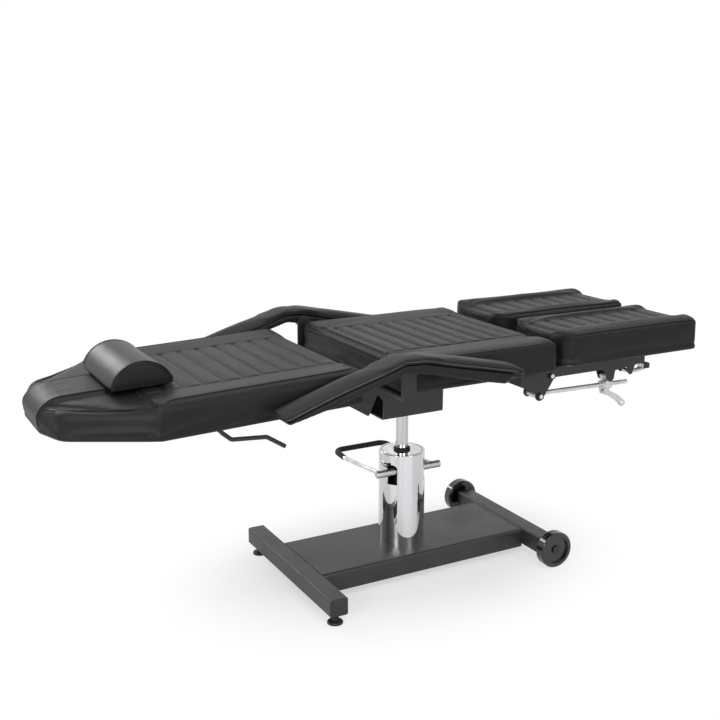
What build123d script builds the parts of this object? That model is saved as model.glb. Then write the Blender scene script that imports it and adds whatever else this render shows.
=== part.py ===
from build123d import *
import math
import os

# A tattoo chair: hydraulic column on a steel base, padded seat, reclining back and two leg rests.
# Lengths are in millimetres. X runs from the head end to the foot end, Z up, and Y to the
# sitter's left. The origin is on the floor under the middle of the pump.

# Clearances and cutter overruns
pin_gap = 0.1
run_gap = 0.3
overrun = 2.0

# Base frame
plate_top = 72.5
base_sheet = 4.0
channel_half_width = 120.6
channel_depth = 52.5
channel_bend = 8.0
front_bar_x = -328.8
front_bar_width = 48.8
front_bar_top = 73.5
front_bar_height = 46.2
front_bar_half_length = 253.5
rear_bar_x = 355.0
rear_bar_width = 50.0
rear_bar_height = 50.0
rear_bar_half_length = 207.0
bar_wall = 3.0
bar_corner = 5.0
end_cap_thick = 4.0
end_cap_plug = 8.0

# Levelling feet and wheels
foot_y = 234.6
foot_radius = 20.0
foot_pad_height = 6.0
foot_neck_height = 10.0
foot_neck_radius = 9.0
foot_stem_radius = 5.0
foot_stem_reach = 26.0
wheel_radius = 50.8
wheel_width = 31.8
wheel_gap = 9.0
wheel_rim = 13.0
wheel_recess = 7.0
wheel_hub_radius = 15.0
wheel_lip = 4.0
axle_radius = 8.0
axle_spacer_radius = 13.0
axle_cap_radius = 12.0
axle_cap_thick = 4.0

# Pump
cover_radius = 63.5
cover_wall = 2.0
cover_seam_z = 247.0
cover_top_z = 330.6
cover_lip = 4.5
cap_ring_gap = 1.5
cap_depth = 8.6
flange_radius = 56.0
flange_thick = 10.0
flange_bolt_circle = 45.0
flange_bolt_radius = 5.0
bolt_head_radius = 8.5
bolt_head_height = 6.0
bolt_count = 4
cylinder_radius = 24.0
cylinder_bore = 20.0
cylinder_floor = 4.0
gland_length = 16.0
ram_radius = 16.9
ram_top_z = 515.0
piston_height = 40.0
piston_bottom_z = 190.0
wiper_radius = 23.0
wiper_height = 7.0

# Pedal and its small pumping piston
pedal_y = -35.0
pedal_z = 283.0
pedal_shaft_radius = 10.0
pedal_shaft_half = 99.5
pedal_head_arm_x = -95.0
pedal_foot_arm_x = 71.5
pedal_rod_radius = 6.25
pedal_knee_y = 152.0
pedal_knee_z = 272.0
pedal_bar_y = 218.5
pedal_bar_z = 276.0
pedal_root_z = 289.0
pedal_bend = 25.0
pedal_knee_bend = 60.0
sleeve_wall = 1.6
sleeve_start_y = 160.0
notch_width = 25.0
notch_top_z = 303.0
bearing_thick = 9.0
bearing_x = 10.5
bearing_half = 15.0
shaft_chamfer = 1.0
crank_x = 34.0
crank_thick = 8.0
crank_reach = 27.0
crank_hub_radius = 13.0
crank_tip_radius = 6.0
plunger_radius = 5.0
plunger_length = 134.0
plunger_cap_radius = 9.0
plunger_cap_height = 8.0
plunger_boss_radius = 9.0
plunger_boss_top = 200.0
plunger_bore_depth = 90.0
plunger_spring_wire = 1.5
plunger_spring_radius = 7.2
plunger_spring_turns = 7

# Seat frame
box_half_width = 130.0
box_wall = 4.0
box_head_x = -133.0
box_foot_x = 46.0
box_bottom_z = 466.0
box_bend = 8.0
box_lip = 26.0
seat_bottom_z = 571.0
rail_thick = 4.0
rail_width = 40.0
rail_y = 118.0
rail_head_x = -175.0
rail_foot_x = 262.0
rail_inset = 23.0
hub_radius = 32.0
hub_height = 51.0
hub_cap = 5.7
hub_foot_radius = 48.0
hub_foot_thick = 8.0

# Recline hinge, its arms and gas spring
hinge_x = -268.0
hinge_z = 553.0
hinge_eye_radius = 11.0
hinge_pin_radius = 7.0
hinge_head_radius = 11.5
hinge_head_thick = 6.0
back_tilt = -1.9
spring_reach = 78.0
spring_y = 40.0
spring_pin_radius = 5.0
spring_eye_radius = 10.0
spring_eye_width = 14.0
spring_neck_radius = 6.0
spring_neck_length = 13.0
spring_cylinder_length = 100.0
spring_bore = 8.0
spring_rod_radius = 4.0
spring_gland = 8.0
spring_piston_height = 8.0
spring_end_room = 22.0
cheek_thick = 5.0
cheek_gap = 0.5
slant_top_x = -143.0
slant_top_z = 558.0
slant_low_x = -178.0
slant_low_z = 484.0
slant_thick = 5.0

# Seat cushion
seat_head_x = -168.0
seat_foot_x = 308.0
seat_half_width = 285.0
seat_panel_z = 656.0
seat_roll_z = 664.0
seat_roll_y = 245.0
seat_panel_half = 157.5
seat_shoulder_z = 643.0
seat_pipe_z = 630.0
seat_band = 46.0
seat_channels = 9
board_thick = 12.0
board_margin = 22.0
channel_rise = 4.0
side_tuck = 7.0
side_corner = 24.0
end_round = 16.0
panel_root = 5.0

# Backrest
back_thick = 85.0
back_panel_rise = 96.7
back_foot_x = -262.5
back_head_x = -981.5
back_half_width = 285.0
back_roll_rise = 7.5
back_roll_y = 243.0
back_panel_half = 163.6
back_shoulder_drop = 13.0
back_taper_x = -766.0
back_tip_x = -953.0
back_tip_half = 158.0
back_tip_corner = 55.0
back_taper_drop = 12.0
back_taper_round = 22.0
back_strip_half = 75.0
back_strip_start_x = -690.0
back_channels = 10
back_frame_thick = 6.0
back_rail_y = 107.0
back_rail_width = 34.0
back_rail_head_x = -700.0
back_lug_radius = 14.0
back_cross_width = 44.0

# Recline lever under the backrest
lever_y = -200.0
lever_pivot_x = -606.0
lever_pivot_z = 538.0
lever_rod_radius = 5.25
lever_eye_radius = 8.0
lever_eye_width = 18.0
lever_pin_radius = 4.0
lever_bend = 12.0
lever_points = [(-596.0, 524.0), (-574.0, 505.0), (-487.0, 498.0), (-440.5, 468.0)]

# Head pillow
pillow_head_x = -824.0
pillow_foot_x = -673.0
pillow_half_width = 128.0
pillow_height = 63.0
pillow_foot_height = 9.0
pillow_edge = 7.0

# Armrests
arm_gap = 7.0
arm_width = 73.0
arm_pivot_x = -155.0
arm_pivot_z = 648.0
arm_boss_radius = 15.0
arm_boss_length = 36.0
arm_stud_radius = 8.0
arm_crown_height = 26.0
arm_shoulder = 9.0
arm_tip_corner = 24.0
upright_thick = 5.0
upright_width = 40.0
upright_tab = 34.0
upright_gap = 1.5
arm_line = [(-509.0, 575.5), (-377.0, 620.0), (-204.0, 671.0), (-150.0, 669.0), (-74.0, 651.0),
            (112.0, 611.0)]
arm_under = [(79.0, 589.0), (30.0, 599.0), (-144.0, 641.0), (-202.0, 650.0), (-377.0, 598.0), (-500.0, 569.5)]
arm_crown = [(146.0, 599.0), (141.0, 616.0), (108.0, 634.0), (-146.0, 687.5), (-206.0, 688.0),
             (-377.0, 646.0), (-515.0, 607.0), (-530.0, 591.0)]
arm_crown_bends = [6.0, 8.0, 40.0, 30.0, 30.0, 120.0, 9.0, 7.0]

# Leg rests
leg_head_x = 328.0
leg_foot_x = 795.0
leg_inner_y = 13.5
leg_outer_y = 286.0
leg_bottom_z = 579.0
leg_panel_z = 667.0
leg_outer_roll_y = 240.0
leg_outer_roll_z = 678.0
leg_inner_roll_y = 50.0
leg_inner_roll_z = 674.0
leg_panel_inner = 83.0
leg_panel_outer = 201.0
leg_shoulder_drop = 12.0
leg_head_corner = 62.0
leg_foot_corner = 14.0
leg_head_band = 34.0
leg_foot_band = 10.0
leg_channels = 8

# Leg hinge, brackets and arm
leg_y = 225.0
leg_hinge_x = 303.3
leg_hinge_z = 557.4
leg_pin_radius = 6.0
ear_offset = 25.0
ear_thick = 4.0
ear_head_x = 204.0
ear_foot_x = 318.0
ear_tip_radius = 13.0
web_height = 28.0
rod_foot_x = 268.2
rod_foot_z = 506.5
nut_radius = 10.0
nut_height = 6.0
arm_half_width = 20.5
arm_wall = 3.0
arm_bottom_z = 550.0
arm_foot_x = 634.0
arm_foot_z = 554.5
arm_dip_x = 529.0
arm_dip_z = 543.0
arm_eye_radius = 11.5
arm_top_x = 330.0

# Support rod, clamp and handles
clamp_x = 514.0
clamp_z = 525.0
clamp_ear_radius = 12.0
clamp_boss_step = 1.5
clamp_pin_radius = 5.0
rod_end_x = 590.0
rod_end_z = 500.0
rod_radius = 6.0
rod_tube_radius = 9.0
clamp_block_radius = 12.5
clamp_block_length = 34.0
clamp_width = 26.0
grip_pivot_x = 512.0
grip_pivot_z = 480.5
grip_eye_radius = 7.5
grip_pin_radius = 3.5
grip_width = 12.0
grip_tip_x = 577.0
grip_tip_z = 440.0
grip_root_thick = 11.0
grip_ball_radius = 10.0
blade_pivot_x = 585.0
blade_pivot_z = 533.0
blade_lug_radius = 8.0
blade_pin_radius = 3.0
blade_thick = 6.0
blade_width = 16.0
blade_tip_x = 662.0
blade_tip_z = 541.5
blade_dip_x = 622.0
blade_dip_z = 528.0
blade_cap_length = 24.0
blade_cap_wall = 2.0

# Proportions that follow other sizes
web_share = 0.5
strip_round_share = 0.45
tuck_share = 0.5
bolt_turn_share = 0.5
ear_foot_share = 0.75

LOW = (Align.MIN, Align.MIN, Align.MIN)
RISE = (Align.CENTER, Align.CENTER, Align.MIN)


def block(x, y, z):
    """A box between two values on each axis."""
    sides = [high - low for low, high in (x, y, z)]
    return Pos(x[0], y[0], z[0]) * Box(*sides, align=LOW)


def column(x, y, z, radius):
    """An upright round column between two heights."""
    return Pos(x, y, z[0]) * Cylinder(radius, z[1] - z[0], align=RISE)


def bar(start, end, radius):
    """A round bar from one point to another."""
    reach = Vector(*end) - Vector(*start)
    return Plane(origin=start, z_dir=reach) * Cylinder(radius, reach.length, align=RISE)


def cross_bar(x, z, y, radius):
    """A round bar along Y between two values."""
    return bar((x, y[0], z), (x, y[1], z), radius)


def side_plate(points, y, bends=None):
    """A plate with an outline in X and Z, thick along Y."""
    places = [(px, y[0], pz) for px, pz in points]
    line = Polyline(*places, close=True) if bends is None else FilletPolyline(*places, radius=bends,
                                                                              close=True)
    return extrude(make_face(line), amount=y[1] - y[0], dir=(0, 1, 0))


def plan_plate(points, z, bends):
    """A plate with an outline in X and Y, thick along Z."""
    places = [(px, py, z[0]) for px, py in points]
    return extrude(make_face(FilletPolyline(*places, radius=bends, close=True)), amount=z[1] - z[0],
                   dir=(0, 0, 1))


def pipe(points, bends, radius):
    """A round rod bent through a row of points."""
    path = FilletPolyline(*points, radius=bends)
    return sweep(Plane(origin=path @ 0, z_dir=path % 0) * Circle(radius), path=path)


def turned(point, angle):
    """A point in X and Z turned about the recline hinge."""
    x, z = point[0] - hinge_x, point[1] - hinge_z
    c, s = math.cos(math.radians(angle)), math.sin(math.radians(angle))
    return (hinge_x + x * c + z * s, hinge_z - x * s + z * c)


def lay_back(solid):
    """Turn a piece drawn level to the resting slope of the backrest."""
    return solid.rotate(Axis((hinge_x, 0, hinge_z), (0, 1, 0)), back_tilt)


def both_sides(solid):
    """The solid and its mirror copy on the other side of the chair."""
    return [solid, mirror(solid, about=Plane.XZ)]


def save(name, *solids):
    """Write one node of one or more solids."""
    kept = []
    for piece in solids:
        kept.extend(piece.solids())
    export_step(kept[0] if len(kept) == 1 else Compound(children=kept), "parts/" + name + ".step")


def save_pair(name, *solids):
    """Write the left-hand piece and its right-hand mirror copy."""
    save(name + "_left", *solids)
    save(name + "_right", *[mirror(solid, about=Plane.XZ) for solid in solids])


# Base frame

front_bar_z = (front_bar_top - front_bar_height, front_bar_top)
front_bar_span = (front_bar_x - front_bar_width / 2, front_bar_x + front_bar_width / 2)
rear_bar_z = (wheel_radius - rear_bar_height / 2, wheel_radius + rear_bar_height / 2)
rear_bar_span = (rear_bar_x - rear_bar_width / 2, rear_bar_x + rear_bar_width / 2)
bolt_places = [(flange_bolt_circle * math.cos(math.tau * (i + bolt_turn_share) / bolt_count),
                flange_bolt_circle * math.sin(math.tau * (i + bolt_turn_share) / bolt_count))
               for i in range(bolt_count)]
plate_bottom = plate_top - base_sheet


def base_channel():
    """Folded channel open downwards, with holes for the pump bolts."""
    span = (front_bar_span[1], rear_bar_span[0])
    outer = block(span, (-channel_half_width, channel_half_width), (plate_top - channel_depth, plate_top))
    outer = fillet(outer.edges().filter_by(Axis.X).group_by(Axis.Z)[-1], channel_bend)
    inner_half = channel_half_width - base_sheet
    inner = block((span[0] - overrun, span[1] + overrun), (-inner_half, inner_half),
                  (plate_top - channel_depth - overrun, plate_bottom))
    inner = fillet(inner.edges().filter_by(Axis.X).group_by(Axis.Z)[-1], channel_bend - base_sheet)
    channel = outer - inner
    for x, y in bolt_places:
        channel -= column(x, y, (plate_bottom - overrun, plate_top + overrun), flange_bolt_radius)
    return channel


def square_tube(span, half_length, z):
    """A square steel tube along Y with rounded corners."""
    outer = block(span, (-half_length, half_length), z)
    outer = fillet(outer.edges().filter_by(Axis.Y), bar_corner)
    bore = block((span[0] + bar_wall, span[1] - bar_wall), (-half_length - overrun, half_length + overrun),
                 (z[0] + bar_wall, z[1] - bar_wall))
    return outer - fillet(bore.edges().filter_by(Axis.Y), bar_corner - bar_wall)


def front_crossbar():
    """Tube with a welded nut over each levelling foot."""
    tube = square_tube(front_bar_span, front_bar_half_length, front_bar_z)
    floor = front_bar_z[0] + bar_wall
    for y in (-foot_y, foot_y):
        tube += Pos(front_bar_x, y, floor) * extrude(RegularPolygon(foot_neck_radius, 6),
                                                     amount=foot_neck_radius)
        tube -= column(front_bar_x, y, (front_bar_z[0] - overrun, floor + foot_neck_radius + overrun),
                       foot_stem_radius + pin_gap)
    return tube


def tube_end_cap():
    """Plastic plug that closes one end of the crossbar."""
    start = front_bar_half_length
    lip = block(front_bar_span, (start, start + end_cap_thick), front_bar_z)
    lip = fillet(lip.edges().filter_by(Axis.Y), bar_corner)
    plug = block((front_bar_span[0] + bar_wall, front_bar_span[1] - bar_wall), (start - end_cap_plug, start),
                 (front_bar_z[0] + bar_wall, front_bar_z[1] - bar_wall))
    return lip + fillet(plug.edges().filter_by(Axis.Y), bar_corner - bar_wall)


def rear_axle_bar():
    """Tube closed by end plates that hold the axle."""
    tube = square_tube(rear_bar_span, rear_bar_half_length, rear_bar_z)
    for low in (-rear_bar_half_length, rear_bar_half_length - base_sheet):
        plate = block(rear_bar_span, (low, low + base_sheet), rear_bar_z)
        tube += fillet(plate.edges().filter_by(Axis.Y), bar_corner)
    reach = rear_bar_half_length + overrun
    return tube - cross_bar(rear_bar_x, wheel_radius, (-reach, reach), axle_radius)


def levelling_foot(y):
    """Screw foot with a round pad, a neck and a threaded stem."""
    neck_top = foot_pad_height + foot_neck_height
    pad = column(front_bar_x, y, (0, foot_pad_height), foot_radius)
    pad = chamfer(pad.edges().group_by(Axis.Z)[-1], foot_pad_height / 3)
    neck = column(front_bar_x, y, (foot_pad_height, neck_top), foot_neck_radius)
    return pad + neck + column(front_bar_x, y, (neck_top, neck_top + foot_stem_reach), foot_stem_radius)


wheel_inner_y = rear_bar_half_length + wheel_gap
wheel_outer_y = wheel_inner_y + wheel_width
axle_end_y = wheel_outer_y - wheel_recess / 2


def wheel_axle():
    """Axle with a spacer collar inside each wheel."""
    axle = cross_bar(rear_bar_x, wheel_radius, (-axle_end_y, axle_end_y), axle_radius)
    for side in both_sides(cross_bar(rear_bar_x, wheel_radius,
                                     (rear_bar_half_length, wheel_inner_y - run_gap),
                                     axle_spacer_radius)):
        axle += side
    return axle


def axle_cap():
    """Domed push-on cap outside one wheel."""
    start = axle_end_y - axle_cap_thick
    cap = cross_bar(rear_bar_x, wheel_radius, (start, axle_end_y + axle_cap_thick / 2), axle_cap_radius)
    cap = fillet(cap.edges().group_by(Axis.Y)[-1], axle_cap_thick / 2)
    return cap - cross_bar(rear_bar_x, wheel_radius, (start - overrun, axle_end_y), axle_radius)


def wheel():
    """Moulded wheel with a raised rim, a recessed web and a hub."""
    hub_end = axle_end_y - axle_cap_thick - run_gap - wheel_inner_y
    rim_in = wheel_radius - wheel_rim
    profile = [(axle_radius + pin_gap, 0), (wheel_hub_radius, 0), (wheel_hub_radius, wheel_recess),
               (rim_in, wheel_recess), (rim_in, 0), (wheel_radius - wheel_lip, 0), (wheel_radius, wheel_lip),
               (wheel_radius, wheel_width - wheel_lip), (wheel_radius - wheel_lip, wheel_width),
               (rim_in, wheel_width), (rim_in - wheel_lip / 2, wheel_width - wheel_recess),
               (wheel_hub_radius, wheel_width - wheel_recess), (wheel_hub_radius, hub_end),
               (axle_radius + pin_gap, hub_end)]
    face = make_face(Polyline(*[(r, 0, h) for r, h in profile], close=True))
    solid = revolve(face, axis=Axis.Z)
    solid = fillet(solid.edges().filter_by(GeomType.CIRCLE).sort_by(SortBy.RADIUS)[-2:], wheel_lip / 2)
    return Plane(origin=(rear_bar_x, wheel_inner_y, wheel_radius), z_dir=(0, 1, 0)) * solid


# Pump

cover_inner = cover_radius - cover_wall
cap_top = cover_top_z
cap_bottom = cover_top_z - cap_depth
cylinder_top = cap_bottom
flange_top = plate_top + flange_thick
bore_floor = flange_top + cylinder_floor
gland_floor = cylinder_top - gland_length
plunger_y = pedal_y + crank_reach
plunger_cap_top = pedal_z - crank_tip_radius - run_gap
plunger_cap_low = plunger_cap_top - plunger_cap_height


def pump_cylinder():
    """Pressure cylinder with its flange, gland and the small pumping cylinder."""
    body = column(0, 0, (plate_top, flange_top), flange_radius)
    body += column(0, 0, (flange_top, cylinder_top), cylinder_radius)
    body += column(crank_x, plunger_y, (flange_top, plunger_boss_top), plunger_boss_radius)
    body += block((0, crank_x), (plunger_y - plunger_boss_radius / 2, plunger_y + plunger_boss_radius / 2),
                  (flange_top, plunger_boss_top - plunger_boss_radius))
    body -= column(0, 0, (bore_floor, gland_floor), cylinder_bore)
    body -= column(0, 0, (gland_floor, cylinder_top + overrun), ram_radius + pin_gap)
    body -= column(crank_x, plunger_y, (plunger_boss_top - plunger_bore_depth, plunger_boss_top + overrun),
                   plunger_radius + pin_gap)
    for x, y in bolt_places:
        body -= column(x, y, (plate_top - overrun, flange_top + overrun), flange_bolt_radius)
    return body


def pump_bolt(x, y):
    """Hexagon bolt through the flange and plate, with its nut below."""
    shank = column(x, y, (plate_bottom - bolt_head_height, flange_top), flange_bolt_radius)
    for low in (flange_top, plate_bottom - bolt_head_height):
        shank += Pos(x, y, low) * extrude(RegularPolygon(bolt_head_radius, 6), amount=bolt_head_height)
    return shank


def pump_cover_lower():
    """Lower drawn cover, open at both ends."""
    skin = column(0, 0, (plate_top, cover_seam_z), cover_radius)
    return skin - column(0, 0, (plate_top - overrun, cover_seam_z + overrun), cover_inner)


def pump_cover_upper():
    """Upper cover with a lip at the top and a notch on each side for the pedal shaft."""
    skin = column(0, 0, (cover_seam_z, cover_top_z), cover_radius)
    skin = fillet(skin.edges().group_by(Axis.Z)[-1], cover_wall)
    skin -= column(0, 0, (cover_seam_z - overrun, cover_top_z - cover_wall), cover_inner)
    skin -= column(0, 0, (cover_seam_z, cover_top_z + overrun), cover_inner - cover_lip)
    half = notch_width / 2
    reach = cover_radius + overrun
    slot = block((-reach, reach), (pedal_y - half, pedal_y + half), (cover_seam_z - overrun, notch_top_z))
    return skin - fillet(slot.edges().filter_by(Axis.X).group_by(Axis.Z)[-1], half - overrun)


def pump_top_cap():
    """Disc that closes the cover and lies on the cylinder."""
    disc = column(0, 0, (cap_bottom, cap_top), cover_inner - cover_lip - cap_ring_gap)
    disc = fillet(disc.edges().group_by(Axis.Z)[-1], cap_ring_gap)
    return disc - column(0, 0, (cap_bottom - overrun, cap_top + overrun), ram_radius + run_gap)


def rod_wiper_seal():
    """Black collar that wipes the rod."""
    ring = column(0, 0, (cap_top, cap_top + wiper_height), wiper_radius)
    ring = chamfer(ring.edges().group_by(Axis.Z)[-1], wiper_height / 3)
    return ring - column(0, 0, (cap_top - overrun, cap_top + wiper_height + overrun), ram_radius + pin_gap)


def ram_rod():
    """Polished lifting rod."""
    rod = column(0, 0, (piston_bottom_z + piston_height, ram_top_z), ram_radius)
    return chamfer(rod.edges().group_by(Axis.Z)[-1], overrun)


def ram_piston():
    """Piston on the foot of the rod, grooved for its seals."""
    body = column(0, 0, (piston_bottom_z, piston_bottom_z + piston_height), cylinder_bore - pin_gap)
    groove = piston_height / 8
    for step in (2, 5):
        low = piston_bottom_z + groove * step
        ring = column(0, 0, (low, low + groove), cylinder_bore) - column(0, 0, (low, low + groove),
                                                                         ram_radius)
        body -= ring
    return body


# Pedal

def pedal_bearing(low_x):
    """Pillar on the pump flange that carries the pedal shaft."""
    y = (pedal_y - bearing_half, -cylinder_radius)
    pillar = block((low_x, low_x + bearing_thick), y, (flange_top, pedal_z))
    head = bar((low_x, pedal_y, pedal_z), (low_x + bearing_thick, pedal_y, pedal_z), bearing_half)
    head -= block((low_x - overrun, low_x + bearing_thick + overrun),
                  (y[1], pedal_y + bearing_half + overrun),
                  (pedal_z - bearing_half, pedal_z + bearing_half + overrun))
    bore = bar((low_x - overrun, pedal_y, pedal_z), (low_x + bearing_thick + overrun, pedal_y, pedal_z),
               pedal_shaft_radius + pin_gap)
    return pillar + head - bore


def pedal_shaft():
    """Pump shaft with the crank that presses the small piston."""
    shaft = bar((-pedal_shaft_half, pedal_y, pedal_z), (pedal_shaft_half, pedal_y, pedal_z),
                pedal_shaft_radius)
    shaft = chamfer(shaft.edges().filter_by(GeomType.CIRCLE), shaft_chamfer)
    crank = (crank_x - crank_thick / 2, crank_x + crank_thick / 2)
    shaft += bar((crank[0], pedal_y, pedal_z), (crank[1], pedal_y, pedal_z), crank_hub_radius)
    shaft += bar((crank[0], plunger_y, pedal_z), (crank[1], plunger_y, pedal_z), crank_tip_radius)
    web = (pedal_z - crank_tip_radius / 3, pedal_z + crank_tip_radius)
    return shaft + block(crank, (pedal_y, plunger_y), web)


def pedal_lever():
    """Bent chrome rod whose two ends are welded to the shaft."""
    points = [(pedal_head_arm_x, pedal_y, pedal_root_z), (pedal_head_arm_x, pedal_knee_y, pedal_knee_z),
              (pedal_head_arm_x, pedal_bar_y, pedal_bar_z), (pedal_foot_arm_x, pedal_bar_y, pedal_bar_z),
              (pedal_foot_arm_x, pedal_knee_y, pedal_knee_z), (pedal_foot_arm_x, pedal_y, pedal_root_z)]
    rod = pipe(points, [pedal_knee_bend, pedal_bend, pedal_bend, pedal_knee_bend], pedal_rod_radius)
    reach = pedal_shaft_half
    return rod - bar((-reach, pedal_y, pedal_z), (reach, pedal_y, pedal_z), pedal_shaft_radius)


def pedal_sleeve(lever):
    """Rubber sleeve over the far end of the pedal."""
    share = (sleeve_start_y - pedal_knee_y) / (pedal_bar_y - pedal_knee_y)
    start_z = pedal_knee_z + (pedal_bar_z - pedal_knee_z) * share
    points = [(pedal_head_arm_x, sleeve_start_y, start_z), (pedal_head_arm_x, pedal_bar_y, pedal_bar_z),
              (pedal_foot_arm_x, pedal_bar_y, pedal_bar_z), (pedal_foot_arm_x, sleeve_start_y, start_z)]
    return pipe(points, [pedal_bend, pedal_bend], pedal_rod_radius + sleeve_wall) - lever


def pump_plunger():
    """Small piston with a flat cap under the crank."""
    stem = column(crank_x, plunger_y, (plunger_cap_low - plunger_length, plunger_cap_low), plunger_radius)
    return stem + column(crank_x, plunger_y, (plunger_cap_low, plunger_cap_top), plunger_cap_radius)


def plunger_spring():
    """Open coil between the small cylinder and the piston cap."""
    low = plunger_boss_top + plunger_spring_wire
    height = plunger_cap_low - plunger_spring_wire - low
    path = Helix(height / plunger_spring_turns, height, plunger_spring_radius)
    coil = sweep(Plane(origin=path @ 0, z_dir=path % 0) * Circle(plunger_spring_wire), path=path)
    return Pos(crank_x, plunger_y, low) * coil


# Seat frame

box_top = seat_bottom_z - rail_thick
box_inner = box_half_width - box_wall
arm_inner_y = seat_half_width + arm_gap


def swivel_hub():
    """Socket with a foot ring, closed at the top, that turns on the ram."""
    low = box_bottom_z + box_wall
    hub = column(0, 0, (low, low + hub_foot_thick), hub_foot_radius)
    hub += column(0, 0, (low, low + hub_height), hub_radius)
    hub = chamfer(hub.edges().group_by(Axis.Z)[-1], hub_cap / 2)
    return hub - column(0, 0, (low - overrun, ram_top_z + run_gap), ram_radius + pin_gap)


def box_arm(y):
    """Side wall of the seat box with its arm to the recline hinge."""
    eye = hinge_eye_radius
    outline = [(box_foot_x, box_bottom_z), (box_foot_x, box_top), (seat_head_x, box_top),
               (seat_head_x - eye, box_top - rail_thick), (hinge_x + eye, hinge_z),
               (hinge_x, hinge_z), (hinge_x, hinge_z - eye), (slant_low_x + eye, hinge_z - eye + overrun),
               (box_head_x - eye, hinge_z - 2 * eye), (box_head_x, hinge_z - 3 * eye - overrun),
               (box_head_x, box_bottom_z)]
    wall = side_plate(outline, y)
    return wall + cross_bar(hinge_x, hinge_z, y, eye)


def seat_box():
    """U channel with folded floor edges, screw lips and two hinge arms."""
    outer = block((box_head_x, box_foot_x), (-box_half_width, box_half_width), (box_bottom_z, box_top))
    outer = fillet(outer.edges().filter_by(Axis.X).group_by(Axis.Z)[0], box_bend)
    inner = block((box_head_x - overrun, box_foot_x + overrun), (-box_inner, box_inner),
                  (box_bottom_z + box_wall, box_top + overrun))
    inner = fillet(inner.edges().filter_by(Axis.X).group_by(Axis.Z)[0], box_bend - box_wall)
    box = outer - inner
    corner = block((box_head_x, box_foot_x), (-box_half_width, box_half_width),
                   (box_bottom_z, box_bottom_z + box_bend))
    for low in (-box_half_width, box_inner):
        box += box_arm((low, low + box_wall)) - corner
    for low in (-box_inner, box_inner - box_lip):
        box += block((box_head_x, box_foot_x), (low, low + box_lip), (box_top - box_wall, box_top))
    reach = box_half_width + overrun
    box -= cross_bar(hinge_x, hinge_z, (-reach, reach), hinge_pin_radius + pin_gap)
    return box - column(0, 0, (box_bottom_z - overrun, box_bottom_z + box_wall + overrun),
                        ram_radius + run_gap)


def seat_rails():
    """Flat steel frame between the box and the seat board."""
    z = (box_top, seat_bottom_z)
    half = rail_width / 2
    frame = None
    for y in (-rail_y, rail_y):
        rail = block((rail_head_x, rail_foot_x), (y - half, y + half), z)
        frame = rail if frame is None else frame + rail
    cross_half = seat_half_width - rail_inset
    frame += block((rail_foot_x - rail_width, rail_foot_x), (-cross_half, cross_half), z)
    reach = arm_inner_y - upright_thick - upright_gap
    middle = arm_pivot_x
    return frame + block((middle - half, middle + half), (-reach, reach), z)


anchor_x = hinge_x + spring_reach
anchor_z = hinge_z - spring_reach
cheek_places = [spring_y - spring_eye_width / 2 - cheek_gap - cheek_thick,
                spring_y + spring_eye_width / 2 + cheek_gap]


def spring_bracket():
    """Slanted plate between the arms, with two cheeks and a pin for the gas spring."""
    outline = [(slant_low_x, slant_low_z), (slant_low_x + slant_thick, slant_low_z),
               (slant_top_x + slant_thick, slant_top_z), (slant_top_x, slant_top_z)]
    plate = side_plate(outline, (-box_inner, box_inner))
    round_end = spring_eye_radius
    for low in cheek_places:
        y = (low, low + cheek_thick)
        cheek = side_plate([(anchor_x, anchor_z - round_end), (slant_low_x + slant_thick, slant_low_z),
                            (slant_low_x + slant_thick * 2, slant_low_z + spring_eye_radius * 2),
                            (anchor_x - round_end / 2, anchor_z + round_end)], y)
        plate += cheek + cross_bar(anchor_x, anchor_z, y, round_end)
    span = (cheek_places[0] - cheek_thick, cheek_places[1] + 2 * cheek_thick)
    return plate + cross_bar(anchor_x, anchor_z, span, spring_pin_radius)


def armrest_upright():
    """Flat post on the left side with a foot tab and the armrest stud."""
    inner = arm_inner_y - upright_thick - upright_gap
    y = (inner, inner + upright_thick)
    half = upright_width / 2
    post = block((arm_pivot_x - half, arm_pivot_x + half), y, (box_top - upright_thick, arm_pivot_z))
    post += cross_bar(arm_pivot_x, arm_pivot_z, y, half)
    post += block((arm_pivot_x - half, arm_pivot_x + half), (inner - upright_tab, inner),
                  (box_top - upright_thick, box_top))
    return post + cross_bar(arm_pivot_x, arm_pivot_z, (y[1], arm_inner_y + arm_boss_length - overrun),
                            arm_stud_radius)


# Upholstery

def fall_arc(x, crest, end):
    """An arc in Y and Z that leaves a crest level and falls to its end."""
    run = end[0] - crest[0]
    drop = crest[1] - end[1]
    radius = (run * run + drop * drop) / (2 * drop)
    half = math.atan2(abs(run), radius - drop) / 2
    middle = (crest[0] + math.copysign(radius * math.sin(half), run),
              crest[1] - radius * (1 - math.cos(half)))
    return ThreePointArc((x, *crest), (x, *middle), (x, *end))


def border(x, side, inward, bottom, shoulder, crest, seam):
    """Edges of one rolled border, from the bottom corner over the crest to the panel seam."""
    low = (side + inward * side_tuck, bottom - overrun)
    top = (side + inward * side_tuck * tuck_share, shoulder)
    middle = (side, (bottom + shoulder) / 2)
    return low, seam, [ThreePointArc((x, *low), (x, *middle), (x, *top)), fall_arc(x, crest, top),
                       fall_arc(x, crest, seam)]


def cushion_body(x, bottom, right, left, side, plan):
    """Cushion from its cross-section, cut to its side view and its plan."""
    low_r, seam_r, edges_r = border(x[0], right[0], 1, bottom, *right[1:])
    low_l, seam_l, edges_l = border(x[0], left[0], -1, bottom, *left[1:])
    edges = edges_r + edges_l
    edges.append(Line((x[0], *low_r), (x[0], *low_l)))
    edges.append(Line((x[0], *seam_r), (x[0], *seam_l)))
    body = extrude(make_face(edges), amount=x[1] - x[0], dir=(1, 0, 0))
    return body & side & plan


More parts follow.
